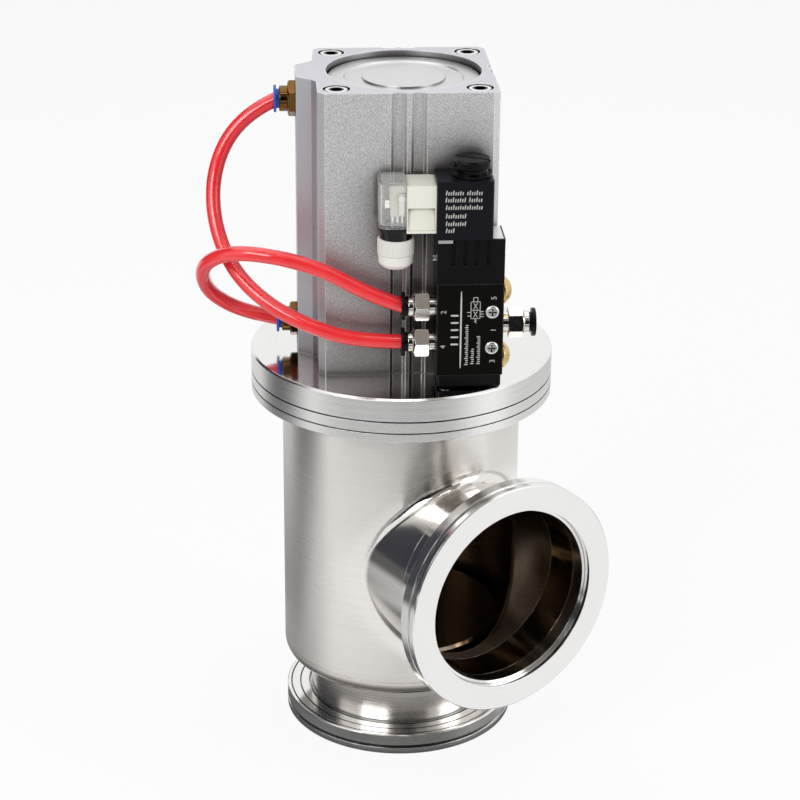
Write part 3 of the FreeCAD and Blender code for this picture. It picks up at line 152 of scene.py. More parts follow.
class Finish:
    """A material and its node tree, with short ways to add and join nodes."""

    def __init__(self, name, colour, roughness, metallic=0.0, **inputs):
        self.material = bpy.data.materials.new(name)
        self.material.use_nodes = True
        self.tree = self.material.node_tree
        self.shader = self.tree.nodes["Principled BSDF"]
        self.shader.inputs["Base Color"].default_value = (*colour, 1)
        self.shader.inputs["Roughness"].default_value = roughness
        self.shader.inputs["Metallic"].default_value = metallic
        for key, value in inputs.items():
            self.shader.inputs[key.replace("_", " ")].default_value = value
        self.colour = colour
        self.place = self.add("ShaderNodeTexCoord").outputs["Object"]

    def add(self, kind, links=(), **settings):
        node = self.tree.nodes.new(kind)
        for key, value in settings.items():
            setattr(node, key, value)
        for socket, source in dict(links).items():
            if isinstance(source, bpy.types.NodeSocket):
                self.tree.links.new(source, node.inputs[socket])
            else:
                node.inputs[socket].default_value = source
        return node

    def feed(self, socket, source):
        self.tree.links.new(source, self.shader.inputs[socket])

    def math(self, operation, *values, clamp=False):
        node = self.add("ShaderNodeMath", dict(enumerate(values)), operation=operation)
        node.use_clamp = clamp
        return node.outputs[0]

    def vector(self, operation, a, b):
        return self.add("ShaderNodeVectorMath", {0: a, 1: b}, operation=operation)

    def noise(self, scale, detail=2.0, stretch=None, vector=None):
        source = vector or self.place
        if stretch:
            source = self.vector("MULTIPLY", source, stretch).outputs[0]
        node = self.add("ShaderNodeTexNoise", {"Vector": source, "Scale": scale, "Detail": detail})
        return node.outputs["Fac"]

    def spread(self, source, low, high, out_low, out_high):
        links = {"Value": source, "From Min": low, "From Max": high,
                 "To Min": out_low, "To Max": out_high}
        return self.add("ShaderNodeMapRange", links).outputs["Result"]

    def mix(self, share, a, b):
        node = self.add("ShaderNodeMix", data_type="RGBA")
        for index, value in ((0, share), (6, a), (7, b)):
            if isinstance(value, bpy.types.NodeSocket):
                self.tree.links.new(value, node.inputs[index])
            elif index:
                node.inputs[index].default_value = (*value, 1)
            else:
                node.inputs[index].default_value = value
        return node.outputs[2]

    def shade(self, share, amount):
        """Colour that goes from darker to lighter than the plain one as share goes 0 to 1."""
        low = tuple(c * (1 - amount) for c in self.colour)
        high = tuple(min(1, c * (1 + amount)) for c in self.colour)
        return self.mix(share, low, high)

    def paint(self, colour, groove_shade_reach=0.0, groove_shade_colour=(0.012, 0.011, 0.010)):
        """Feed the colour, with painted shade in grooves and inner corners as deep as the groove
        reach.
        """
        if groove_shade_reach:
            colour = self.mix(self.crevice_shade(groove_shade_reach), colour, groove_shade_colour)
        self.feed("Base Color", colour)

    def crevice_shade(self, reach, low=0.3, high=0.75):
        """Mask for painted shade: 1 down in grooves and narrow gaps, 0 on open faces."""
        node = self.add("ShaderNodeAmbientOcclusion", {"Distance": reach}, samples=8)
        return self.spread(node.outputs["AO"], low, high, 1.0, 0.0)

    def facing(self, direction, low=0.5, high=0.9):
        """1 on faces that look along the direction, 0 on the others."""
        normal = self.add("ShaderNodeNewGeometry").outputs["Normal"]
        along = self.vector("DOT_PRODUCT", normal, direction).outputs["Value"]
        return self.spread(along, low, high, 0.0, 1.0)

    def rough(self, share, low, high):
        self.feed("Roughness", self.spread(share, 0.3, 0.7, low, high))

    def relief(self, height, depth, soft_edge=0.0):
        """Bump of the given depth in metres, over edges rounded by soft_edge metres."""
        bump = self.add("ShaderNodeBump", {"Height": height, "Distance": depth, "Strength": 1.0})
        if soft_edge:
            bevel = self.add("ShaderNodeBevel", {"Radius": soft_edge}, samples=4)
            self.tree.links.new(bevel.outputs[0], bump.inputs["Normal"])
        self.feed("Normal", bump.outputs[0])

    def edge_share(self, radius, low=0.02, high=0.3):
        """1 along outer and inner edges, 0 on flats and smooth curves."""
        bevel = self.add("ShaderNodeBevel", {"Radius": radius}, samples=4)
        flat = self.add("ShaderNodeNewGeometry").outputs["Normal"]
        along = self.vector("DOT_PRODUCT", bevel.outputs[0], flat).outputs["Value"]
        return self.spread(self.math("SUBTRACT", 1.0, along), low, high, 0.0, 1.0)

    def radius_about(self, centre, axis):
        """Distance from an axis through centre, and the tangent round it."""
        local = self.vector("SUBTRACT", self.place, centre).outputs[0]
        flat = self.vector("MULTIPLY", local, tuple(1 - abs(a) for a in axis)).outputs[0]
        away = self.add("ShaderNodeVectorMath", {0: flat}, operation="LENGTH").outputs["Value"]
        tangent = self.vector("CROSS_PRODUCT", flat, axis).outputs[0]
        unit = self.add("ShaderNodeVectorMath", {0: tangent}, operation="NORMALIZE")
        return away, unit.outputs[0]


def turned_steel(name, colour, roughness, centre, axis, groove=9e-6, anisotropy=0.5, rim=None,
                 groove_shade_reach=0.0016):
    """Metal turned on a lathe: rings about the axis on its faces, a duller rim, and painted shade
    in its grooves.
    """
    f = Finish(name, colour, roughness, 1.0, Anisotropic=anisotropy, Anisotropic_Rotation=0.25)
    away, tangent = f.radius_about(centre, axis)
    along = f.vector("DOT_PRODUCT", f.place, axis).outputs["Value"]
    rings = f.add("ShaderNodeCombineXYZ", {"X": away, "Y": along}).outputs[0]
    fine = f.noise(5200, 3, vector=rings)
    broad = f.noise(900, 3, vector=rings)
    cloud = f.noise(26, 3)
    share = f.math("ADD", f.math("MULTIPLY", broad, 0.6), f.math("MULTIPLY", cloud, 0.4))
    # Random tone, with painted shade in the grooves
    f.paint(f.shade(share, 0.07), groove_shade_reach)
    normal = f.add("ShaderNodeNewGeometry").outputs["Normal"]
    flat = f.math("ABSOLUTE", f.vector("DOT_PRODUCT", normal, axis).outputs["Value"])
    grade = f.spread(flat, 0.5, 0.9, rim or roughness, roughness)
    wander = f.math("ADD", f.math("MULTIPLY", fine, 0.6), f.math("MULTIPLY", cloud, 0.4))
    f.feed("Roughness", f.math("MULTIPLY", grade, f.spread(wander, 0.3, 0.7, 0.75, 1.35)))
    f.relief(fine, groove, 0.00035)
    f.feed("Tangent", tangent)
    return f.material


def brushed_steel(name, colour, roughness, centre, axis, bore, anisotropy, side_bore=0.0):
    """Belt polished shell: long scratches round its axis outside; its bores are painted with shade
    and warm reflections.

    With a side_bore it also has the side neck's smoother, drawn surface round that bore."""
    f = Finish(name, colour, roughness, 1.0, Anisotropic=anisotropy, Anisotropic_Rotation=0.25)
    away, tangent = f.radius_about(centre, axis)
    along = f.vector("DOT_PRODUCT", f.place, axis).outputs["Value"]
    round_about = f.vector("DOT_PRODUCT", f.place, (0.8, 0.6, 0.0)).outputs["Value"]
    lay = f.add("ShaderNodeCombineXYZ", {"X": along, "Y": f.math("MULTIPLY", round_about, 0.012),
                                         "Z": f.math("MULTIPLY", away, 0.3)}).outputs[0]
    scratch = f.noise(3800, 4, vector=lay)
    band = f.noise(900, 4, vector=lay)
    cloud = f.noise(18, 3)
    tone = f.math("ADD", f.math("MULTIPLY", band, 0.7), f.math("MULTIPLY", cloud, 0.3))
    outside = f.shade(tone, 0.08)
    # Painted shade and warm reflections in the bores
    bore_shade = f.mix(f.noise(40, 3), BORE_SHADE_DARK, BORE_SHADE_LIGHT)
    within = f.spread(away, bore - 0.0003, bore + 0.0003, 1.0, 0.0)
    if side_bore:
        side_away = f.radius_about((0.0, 0.0, SIDE_PORT_Z), (0.0, 1.0, 0.0))[0]
        side = f.spread(side_away, side_bore - 0.0002, side_bore + 0.0002, 1.0, 0.0)
        forward = f.vector("DOT_PRODUCT", f.place, (0.0, -1.0, 0.0)).outputs["Value"]
        ahead = f.spread(forward, 0.0, 0.01, 0.0, 1.0)
        within = f.math("MAXIMUM", within, f.math("MULTIPLY", side, ahead))
    # Bores get their painted shade and reflection, and grooves get painted shade too
    f.paint(f.mix(within, outside, bore_shade), 0.0016)
    wander = f.math("ADD", f.math("MULTIPLY", scratch, 0.6), f.math("MULTIPLY", cloud, 0.4))
    if side_bore:
        drawn = f.spread(side_away, DRAWN_NECK_FULL, DRAWN_NECK_END, 1.0, 0.0)
        drawn = f.math("MULTIPLY", drawn, ahead)
        drawn = f.math("MULTIPLY", drawn, f.spread(within, 0.0, 1.0, 1.0, 0.0))
        grade = f.spread(drawn, 0.0, 1.0, roughness, DRAWN_NECK_ROUGHNESS)
        f.feed("Roughness", f.math("MULTIPLY", grade, f.spread(wander, 0.3, 0.7, 0.8, 1.2)))
    else:
        f.rough(wander, roughness * 0.8, roughness * 1.2)
    f.relief(scratch, 5e-6, 0.0004)
    f.feed("Tangent", tangent)
    return f.material


def anodised_aluminium(name):
    """Extruded barrel: a finely speckled, blasted front and smoother, faintly lavender sides.

    It has painted shade near what stands on it, in its flutes and in its grooves, and a painted
    highlight along its edges."""
    f = Finish(name, (0.70, 0.70, 0.71), 0.36, 0.85)
    grain = f.noise(1800, 2)
    cloud = f.noise(14, 3)
    forward = f.vector("DOT_PRODUCT", f.place, ACTUATOR_FRONT).outputs["Value"]
    proud = f.spread(forward, BARREL_FRONT_FROM, BARREL_FRONT_FULL, 0.0, 1.0)
    front = f.math("MULTIPLY", f.facing(ACTUATOR_FRONT), proud)
    speckle = f.spread(grain, 0.36, 0.64, 0, 1)
    speckled = f.mix(speckle, (0.58, 0.58, 0.585), (0.98, 0.98, 0.99))
    smooth = f.mix(cloud, (0.53, 0.53, 0.565), (0.60, 0.60, 0.64))
    body = f.mix(front, smooth, speckled)
    # Painted shade near the parts that stand on the barrel, then painted shade in the flutes
    body = f.mix(f.crevice_shade(0.03, 0.3, 0.93), body, (0.12, 0.10, 0.10))
    body = f.mix(f.crevice_shade(0.004, 0.5, 0.97), body, (0.14, 0.135, 0.13))
    # Painted highlight along the edges
    edges = f.math("MULTIPLY", f.edge_share(0.0010, 0.01, 0.07), 0.8)
    body = f.mix(edges, body, (0.98, 0.98, 0.99))
    f.paint(body, 0.0012, (0.03, 0.03, 0.03))
    wander = f.math("ADD", f.math("MULTIPLY", grain, 0.4), f.math("MULTIPLY", cloud, 0.6))
    f.rough(wander, 0.38, 0.5)
    f.relief(f.math("MULTIPLY", grain, f.spread(front, 0, 1, 0.15, 1.0)), 0.00002, 0.0004)
    return f.material


def moulded(name, colour, roughness, grain=900, depth=1.2e-5, vary=0.08, soft_edge=0.0004,
            groove_shade_reach=0.0, groove_shade_colour=(0.0, 0.0, 0.0), **inputs):
    """Moulded plastic: fine even grain, faint flow clouds, edges a little rounded, painted shade in
    grooves when given a groove reach.
    """
    f = Finish(name, colour, roughness, **inputs)
    fine = f.noise(grain, 3)
    cloud = f.noise(60, 2)
    share = f.math("ADD", f.math("MULTIPLY", fine, 0.3), f.math("MULTIPLY", cloud, 0.7))
    # Random tone, with painted shade in the grooves
    f.paint(f.shade(share, vary), groove_shade_reach, groove_shade_colour)
    f.rough(f.math("ADD", f.math("MULTIPLY", fine, 0.5), f.math("MULTIPLY", cloud, 0.5)),
            roughness * 0.85, roughness * 1.2)
    f.relief(fine, depth, soft_edge)
    return f.material


def black_coat(name, colour, roughness):
    """Satin black over metal, lighter along its edges: a painted highlight, broken up like wear."""
    f = Finish(name, colour, roughness, 0.0, Specular_IOR_Level=0.12)
    fine = f.noise(2200, 3)
    cloud = f.noise(45, 3)
    # Painted highlight along the edges, broken up like wear
    edge_wear_and_highlight = f.math("MULTIPLY", f.edge_share(0.0004), f.spread(cloud, 0.3, 0.6, 0.5, 1.0))
    f.paint(f.mix(edge_wear_and_highlight, colour, (0.16, 0.15, 0.135)))
    f.rough(f.math("ADD", f.math("MULTIPLY", fine, 0.4), f.math("MULTIPLY", cloud, 0.6)),
            roughness * 0.8, roughness * 1.25)
    f.relief(fine, 1.0e-5, 0.0003)
    return f.material


def plated(name, colour, roughness, vary=0.05, groove_shade_reach=0.0):
    """Plated or machined small metal part with slight ripples and tarnish, and painted shade in its
    grooves when given a groove reach.
    """
    f = Finish(name, colour, roughness, 1.0)
    ripple = f.noise(700, 2)
    tarnish = f.noise(120, 4)
    # Tarnish is the part's own tone; the grooves get painted shade
    f.paint(f.shade(tarnish, vary), groove_shade_reach)
    f.rough(tarnish, roughness * 0.7, roughness * 1.4)
    f.relief(ripple, 6e-6, 0.00035)
    return f.material


def sintered(name):
    """Bronze beads sintered into a porous dome, worn smooth and bright, with painted shade in the
    pores between them.
    """
    f = Finish(name, (0.80, 0.60, 0.26), 0.2, 1.0)
    beads = f.add("ShaderNodeTexVoronoi", {"Vector": f.place, "Scale": 1900}, feature="F1")
    # Pores between the beads: bump depth, and painted shade in their colour
    pore_depth_and_shade = f.spread(beads.outputs["Distance"], 0.2, 0.75, 1.0, 0.0)
    f.paint(f.mix(pore_depth_and_shade, (0.55, 0.36, 0.12), (0.84, 0.64, 0.30)))
    f.relief(pore_depth_and_shade, 0.00005)
    f.rough(f.noise(300, 2), 0.16, 0.28)
    return f.material


def bolt_steel(name):
    """Black socket screws in deep wells; the black sockets also stand for the shade in them, and a
    bright ring on each head's edge is a painted highlight.
    """
    f = Finish(name, (0.012, 0.012, 0.013), 0.3, 1.0)
    across = f.vector("DOT_PRODUCT", f.place, ACTUATOR_SIDE).outputs["Value"]
    back = f.vector("DOT_PRODUCT", f.place, ACTUATOR_FRONT).outputs["Value"]
    corner = (BOLT_HALF_PITCH, BOLT_HALF_PITCH, 0.0)
    square = f.add("ShaderNodeCombineXYZ", {"X": f.math("ABSOLUTE", across),
                                            "Y": f.math("ABSOLUTE", back)})
    away = f.vector("SUBTRACT", square.outputs[0], corner).outputs[0]
    away = f.add("ShaderNodeVectorMath", {0: away}, operation="LENGTH").outputs["Value"]
    # A painted highlight ring round the head's edge; the black socket inside it is also painted
    # shade
    past_socket = f.spread(away, 0.0038, 0.0042, 0, 1)
    highlight_ring = f.math("MULTIPLY", past_socket, f.spread(away, 0.0056, 0.0060, 1, 0))
    f.paint(f.mix(highlight_ring, f.shade(f.noise(300, 3), 0.4), (0.80, 0.80, 0.80)))
    f.rough(f.noise(500, 3), 0.22, 0.4)
    f.relief(f.noise(900, 2), 6e-6, 0.0003)
    return f.material


def polyurethane(name):
    """Glossy red tube wall with faint draw lines and a slight depth of colour."""
    f = Finish(name, (0.84, 0.03, 0.038), 0.16, 0.0, Subsurface_Weight=0.25,
               Subsurface_Scale=0.002, Coat_Weight=0.8, Coat_Roughness=0.05)
    f.shader.inputs["Subsurface Radius"].default_value = (1.0, 0.1, 0.1)
    cloud = f.noise(70, 3)
    f.paint(f.shade(cloud, 0.12))
    f.rough(cloud, 0.12, 0.24)
    f.relief(f.noise(240, 2), 1.5e-5)
    return f.material


def clear_plastic(name):
    """Water-clear moulded hood with faint flow lines."""
    f = Finish(name, (0.98, 0.98, 0.97), 0.04, 0.0, Transmission_Weight=0.86, IOR=1.35)
    flow = f.noise(90, 3)
    f.rough(flow, 0.02, 0.09)
    f.relief(flow, 6e-5, 0.0004)
    return f.material


def make_finishes():
    up, out = (0.0, 0.0, 1.0), (0.0, 1.0, 0.0)
    side_centre = (0.0, 0.0, SIDE_PORT_Z)
    steel = (0.83, 0.825, 0.815)
    shell = (0.80, 0.775, 0.745)
    spool_centre = tuple(on_actuator(*SPOOL_PLACE))
    # The groove reaches and groove colours given below set painted shade in each finish's grooves
    # and inner corners
    return {
        "steel_turned_upright": turned_steel("steel_turned_upright", steel, 0.09, (0, 0, 0), up,
                                             rim=0.27),
        "steel_turned_side": turned_steel("steel_turned_side", steel, 0.12, side_centre, out,
                                          rim=0.14),
        "steel_shell_upright": brushed_steel("steel_shell_upright", shell, 0.3, (0, 0, 0), up,
                                             SHELL_BORE, 0.8, SIDE_BORE),
        "steel_neck_lower": brushed_steel("steel_neck_lower", (0.72, 0.68, 0.64), 0.26,
                                          (0, 0, 0), up, NECK_BORE, 0.6),
        "steel_neck_side": brushed_steel("steel_neck_side", shell, 0.09, side_centre, out,
                                         NECK_BORE, 0.4),
        # The valve disc's dark warm brown is painted shade and reflection from the valve's inside
        "steel_disc_painted_shade": turned_steel("steel_disc_painted_shade", (0.34, 0.27, 0.20), 0.16, (0, 0, 0), up),
        "steel_ground": turned_steel("steel_ground", steel, 0.1, (0, 0, 0), up, 4e-6, 0.3),
        "aluminium_barrel": anodised_aluminium("aluminium_barrel"),
        "aluminium_turned": turned_steel("aluminium_turned", (0.64, 0.64, 0.645), 0.3,
                                         (0, 0, 0), up, 1.4e-5, 0.35, groove_shade_reach=0.0025),
        "aluminium_spool": turned_steel("aluminium_spool", (0.72, 0.725, 0.73), 0.22,
                                        spool_centre, up, 8e-6, 0.3),
        "block_black": black_coat("block_black", (0.0022, 0.0020, 0.0014), 0.26),
        "plastic_black": moulded("plastic_black", (0.0035, 0.0035, 0.004), 0.3,
                                 Specular_IOR_Level=0.15),
        "plastic_black_gloss": moulded("plastic_black_gloss", (0.002, 0.002, 0.002), 0.1,
                                       depth=4e-6, Specular_IOR_Level=0.16),
        "plastic_coil": moulded("plastic_coil", (0.0045, 0.004, 0.008), 0.33, grain=1300,
                                depth=2.0e-5, Specular_IOR_Level=0.18),
        "plastic_cream": moulded("plastic_cream", (0.80, 0.785, 0.70), 0.3, vary=0.03,
                                 groove_shade_reach=0.004, groove_shade_colour=(0.30, 0.27, 0.20),
                                 Subsurface_Weight=0.1, Subsurface_Scale=0.0008),
        "plastic_nut": moulded("plastic_nut", (0.80, 0.785, 0.735), 0.3, vary=0.03,
                               groove_shade_reach=0.0015, groove_shade_colour=(0.22, 0.20, 0.17),
                               Subsurface_Weight=0.1, Subsurface_Scale=0.0008),
        "plastic_clear": clear_plastic("plastic_clear"),
        "plastic_blue": moulded("plastic_blue", (0.012, 0.085, 0.50), 0.3),
        "tube_red": polyurethane("tube_red"),
        # The brass is coloured far darker than brass, standing for the dark surroundings it
        # mirrors: painted reflection
        "brass_dark": plated("brass_dark", (0.17, 0.088, 0.025), 0.16, 0.3, groove_shade_reach=0.001),
        "button_metal": plated("button_metal", (0.78, 0.77, 0.75), 0.18, 0.1),
        "bronze_sintered": sintered("bronze_sintered"),
        "bronze_bush": turned_steel("bronze_bush", (0.58, 0.37, 0.17), 0.3, (0, 0, 0), up),
        "tin": plated("tin", (0.66, 0.65, 0.62), 0.3),
        "nickel": plated("nickel", (0.74, 0.71, 0.67), 0.1, 0.06, groove_shade_reach=0.001),
        "screw_steel": plated("screw_steel", (0.52, 0.52, 0.53), 0.24, 0.12),
        "screw_bright": plated("screw_bright", (0.88, 0.87, 0.86), 0.2, 0.1, groove_shade_reach=0.0018),
        "bolt_steel": bolt_steel("bolt_steel"),
        "spring_steel": plated("spring_steel", (0.42, 0.42, 0.43), 0.25, 0.1),
        "zinc": plated("zinc", (0.72, 0.73, 0.74), 0.28, 0.08),
        "rubber_black": moulded("rubber_black", (0.016, 0.016, 0.017), 0.55, grain=1600,
                                depth=8e-6, vary=0.15),
        "rubber_gloss": moulded("rubber_gloss", (0.006, 0.006, 0.006), 0.14, depth=1.2e-5),
        "print_grey": moulded("print_grey", (0.52, 0.52, 0.50), 0.5),
    }


NODE_FINISH = {
    "steel_turned_upright": ["lower_flange", "body_top_flange", "bonnet_plate"],
    "steel_disc_painted_shade": ["valve_disc"],
    "steel_turned_side": ["side_flange"],
    "steel_shell_upright": ["body_wall"],
    "steel_neck_lower": ["body_floor", "lower_neck"],
    "steel_neck_side": ["side_neck"],
    "steel_ground": ["valve_stem"],
    "aluminium_barrel": ["cylinder_barrel"],
    "aluminium_turned": ["rear_cap", "front_cover", "piston"],
    "aluminium_spool": ["spool"],
    "block_black": ["valve_block"],
    "plastic_black": ["pilot_head", "end_cap", "port_a_collar", "port_b_collar", "supply_collar"],
    "plastic_black_gloss": ["coil_nut"],
    "plastic_coil": ["coil"],
    "plastic_cream": ["connector_base", "terminal_insert"],
    "plastic_nut": ["gland_nut"],
    "plastic_clear": ["connector_cover"],
    "plastic_blue": ["upper_collar", "lower_collar"],
    "brass_dark": ["brass_fittings"],
    "button_metal": ["override_button"],
    "bronze_sintered": ["silencers"],
    "bronze_bush": ["gland_bush"],
    "tin": ["coil_terminals"],
    "nickel": ["nickel_fittings"],
    "screw_steel": ["bonnet_screws", "gland_screws", "disc_screw", "piston_nut",
                    "armature_tube", "plunger"],
    "screw_bright": ["valve_screws", "end_cap_screws", "connector_screw"],
    "bolt_steel": ["cylinder_bolts"],
    "spring_steel": ["spool_spring", "front_cover_circlip"],
    "zinc": ["coil_plate"],
    "rubber_black": ["bonnet_oring", "gland_orings", "disc_oring", "rear_cap_oring",
                     "front_cover_oring", "rod_seal", "piston_seals", "cable_seal"],
    "rubber_gloss": ["connector_gasket"],
}

finishes = make_finishes()


def dress(piece, finish):
    piece.data.materials.clear()
    piece.data.materials.append(finishes[finish])


for finish, names in NODE_FINISH.items():
    for node in names:
        dress(nodes[node], finish)
for tube in air_tubes:
    dress(tube, "tube_red")


# Millimetres in the actuator's directions: print thickness and depth, and the printed faces
PRINT_THICK = 0.1
PRINT_SUNK = 0.02
BLOCK_FRONT = -69.0
COIL_FRONT = -70.0
INSERT_FRONT = -63.75
TEXT_SIZE_FOR_HEIGHT = 1.4
DIGIT_HEIGHT = 2.9


def settle(piece, name, body, finish):
    """Bring a piece drawn in millimetres in the actuator's directions to its place in the frame."""
    piece.name = name
    piece.data.name = name
    piece.data.transform(Matrix.Rotation(ACTUATOR_TURN, 4, "Z") @ Matrix.Scale(MM, 4))
    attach(piece, body)
    dress(piece, finish)
    return piece


def join(pieces):
    deselect()
    for piece in pieces:
        piece.select_set(True)
    bpy.context.view_layer.objects.active = pieces[0]
    bpy.ops.object.join()
    return pieces[0]


def make_stroke():
    """One printed stroke: a unit slab whose corners are rounded as seen from the front."""
    deselect()
    bpy.ops.mesh.primitive_cube_add(size=1)
    stroke = bpy.context.object
    bpy.ops.object.mode_set(mode="EDIT")
    bpy.ops.mesh.select_mode(type="EDGE")
    bpy.ops.mesh.select_all(action="DESELECT")
    mesh = bmesh.from_edit_mesh(stroke.data)
    for edge in mesh.edges:
        a, b = edge.verts
        edge.select_set(abs(a.co.y - b.co.y) > 0.5)
    bmesh.update_edit_mesh(stroke.data)
    bpy.ops.mesh.bevel(offset=0.28, segments=2)
    bpy.ops.object.mode_set(mode="OBJECT")
    return stroke


def stroke_copies(marks, front):
    """Strokes on a front face, each at x, z with a width and height in mm and a turn in degrees."""
    stroke = make_stroke()
    copies = []
    for x, z, width, height, turn in marks:
        copy = bpy.data.objects.new("stroke", stroke.data.copy())
        place = Matrix.Translation((x, front - PRINT_THICK / 2 + PRINT_SUNK, z))
        place = place @ Matrix.Rotation(math.radians(turn), 4, "Y")
        copy.data.transform(place @ Matrix.Diagonal((width, PRINT_THICK, height, 1)))
        bpy.context.scene.collection.objects.link(copy)
        copies.append(copy)
    bpy.data.objects.remove(stroke)
    return copies


def print_digit(digit, x, z, front):
    """A port number that reads upwards on a front face."""
    deselect()
    bpy.ops.object.text_add()
    text = bpy.context.object
    text.data.body = digit
    text.data.size = DIGIT_HEIGHT * TEXT_SIZE_FOR_HEIGHT
    text.data.align_x = "CENTER"
    text.data.align_y = "CENTER"
    text.data.extrude = PRINT_THICK / 2
    text.data.resolution_u = 4
    bpy.ops.object.convert(target="MESH")
    place = Matrix.Translation((x, front - PRINT_THICK / 2 + PRINT_SUNK, z))
    upright, sideways = Matrix.Rotation(math.pi / 2, 4, "X"), Matrix.Rotation(math.pi / 2, 4, "Z")
    text.data.transform(place @ upright @ sideways)
    return text


TICK_HEIGHTS = (1.0, 0.7, 0.72, 1.0, 0.68, 0.72, 0.86, 0.7, 0.95, 0.7)


def tick_row(start, end, height, pitch, gaps=()):
    """Ticks in place of a row of words: the middle of each along the row, and its height."""
    count = int((end - start) / pitch)
    for i in range(count):
        if i not in gaps:
            yield start + (i + 0.5) * pitch, height * TICK_HEIGHTS[i % len(TICK_HEIGHTS)]


# Rows of ticks on the coil: start, end, top and which ticks are left out
COIL_ROWS = [
    (17.1, 37.3, 333.7, (8,)), (17.0, 37.3, 330.0, (9,)), (17.2, 36.5, 326.0, ()),
    (17.3, 28.3, 321.4, ()), (17.3, 28.3, 317.3, ()), (17.4, 22.6, 313.6, ()),
]
COIL_TICK_HEIGHT, COIL_TICK_WIDTH, COIL_TICK_PITCH, COIL_TICK_LEAN = 2.7, 0.62, 1.2, 8


def make_coil_print():
    """Rows of plain ticks where the coil carries its printed rating."""
    marks = []
    for start, end, top, gaps in COIL_ROWS:
        for x, height in tick_row(start, end, COIL_TICK_HEIGHT, COIL_TICK_PITCH, gaps):
            middle = top - COIL_TICK_HEIGHT + height / 2
            marks.append((x, middle, COIL_TICK_WIDTH, height, COIL_TICK_LEAN))
    return settle(join(stroke_copies(marks, COIL_FRONT)), "coil_print", "valve",
                  "print_grey")


# The valve block's print: a long line, bars beside it, rows of ticks, a sign and port numbers
LONG_LINE = (26.3, 257.3, 0.9, 43.0, 0)
BAR_X, BAR_HEIGHTS, BAR_SIZE = 23.0, (249.3, 253.3, 257.3, 261.3, 265.3), (4.2, 1.0)
BLOCK_ROWS = [(30.3, 237.3, 260.6), (33.4, 237.8, 247.7), (36.6, 237.8, 254.4)]
BLOCK_TICK_HEIGHT, BLOCK_TICK_WIDTH, BLOCK_TICK_PITCH = 2.0, 0.6, 1.15
SIGN_X, SIGN_Z, SIGN_LINE = (31.4, 36.2), (263.6, 272.8), 0.4
SIGN_PORTS = [(30.3, 265.0), (30.3, 267.0), (37.3, 264.6), (37.3, 266.0), (37.3, 267.4)]
PORT_NUMBERS = [
    ("2", 17.3, 267.2), ("4", 17.1, 248.0), ("5", 43.4, 274.8), ("1", 43.4, 257.0),
    ("3", 43.2, 239.6),
]


def sign_marks():
    """Strokes of a plain two-position valve sign: two crossed boxes, ports, coil and spring."""
    (left, right), (low, high), line = SIGN_X, SIGN_Z, SIGN_LINE
    x, z = (left + right) / 2, (low + high) / 2
    marks = [(side, z, line, high - low, 0) for side in (left, right)]
    marks += [(x, level, right - left + line, line, 0) for level in (low, z, high)]
    for level in (low + 2.3, high - 2.3):
        marks += [(x, level, line, 4.0, 32), (x, level, line, 4.0, -32)]
    marks += [(port_x, port_z, 1.8, line, 0) for port_x, port_z in SIGN_PORTS]
    marks += [(side, high + 1.2, line, 2.4, 0) for side in (32.7, 34.9)]
    marks.append((x, high + 2.4, 2.6, line, 0))
    for i, turn in enumerate((40, -40, 40)):
        marks.append((x, low - 0.6 - 0.7 * i, line, 1.8, turn + 90))
    return marks


def make_block_print():
    """Port numbers, a plain two-position sign and rows of ticks on the valve block."""
    marks = [LONG_LINE]
    marks += [(BAR_X, z, *BAR_SIZE, 0) for z in BAR_HEIGHTS]
    for baseline, start, end in BLOCK_ROWS:
        for z, height in tick_row(start, end, BLOCK_TICK_HEIGHT, BLOCK_TICK_PITCH):
            marks.append((baseline - height / 2, z, height, BLOCK_TICK_WIDTH, 0))
    marks += sign_marks()
    pieces = stroke_copies(marks, BLOCK_FRONT)
    pieces += [print_digit(digit, x, z, BLOCK_FRONT) for digit, x, z in PORT_NUMBERS]
    return settle(join(pieces), "block_print", "valve", "print_grey")


def rounded_slab(low, high, round_off):
    """A slab between two corners in mm with all its edges rounded."""
    deselect()
    bpy.ops.mesh.primitive_cube_add(size=1)
    slab = bpy.context.object
    size = [b - a for a, b in zip(low, high)]
    middle = [(a + b) / 2 for a, b in zip(low, high)]
    slab.data.transform(Matrix.Translation(middle) @ Matrix.Diagonal((*size, 1)))
    bpy.ops.object.mode_set(mode="EDIT")
    bpy.ops.mesh.select_all(action="SELECT")
    bpy.ops.mesh.bevel(offset=round_off, segments=2)
    bpy.ops.object.mode_set(mode="OBJECT")
    return slab


TAB_PLACES, TAB_HALF_WIDTH, TAB_THICK = (-9.4, -6.9, -4.4), 0.7, 1.0
TAB_TOP, TAB_BEND, TAB_FOOT, TAB_FOOT_REACH = 319.0, 312.6, (312.2, 313.0), 4.0
CLAMP_LOW, CLAMP_HIGH = (-6.2, INSERT_FRONT - 0.7, 318.9), (-3.2, INSERT_FRONT + 0.1, 330.2)
CLAMP_SCREW, CLAMP_SCREW_RADIUS, CLAMP_SCREW_THICK = (-4.7, INSERT_FRONT - 1.2, 327.8), 1.9, 1.3


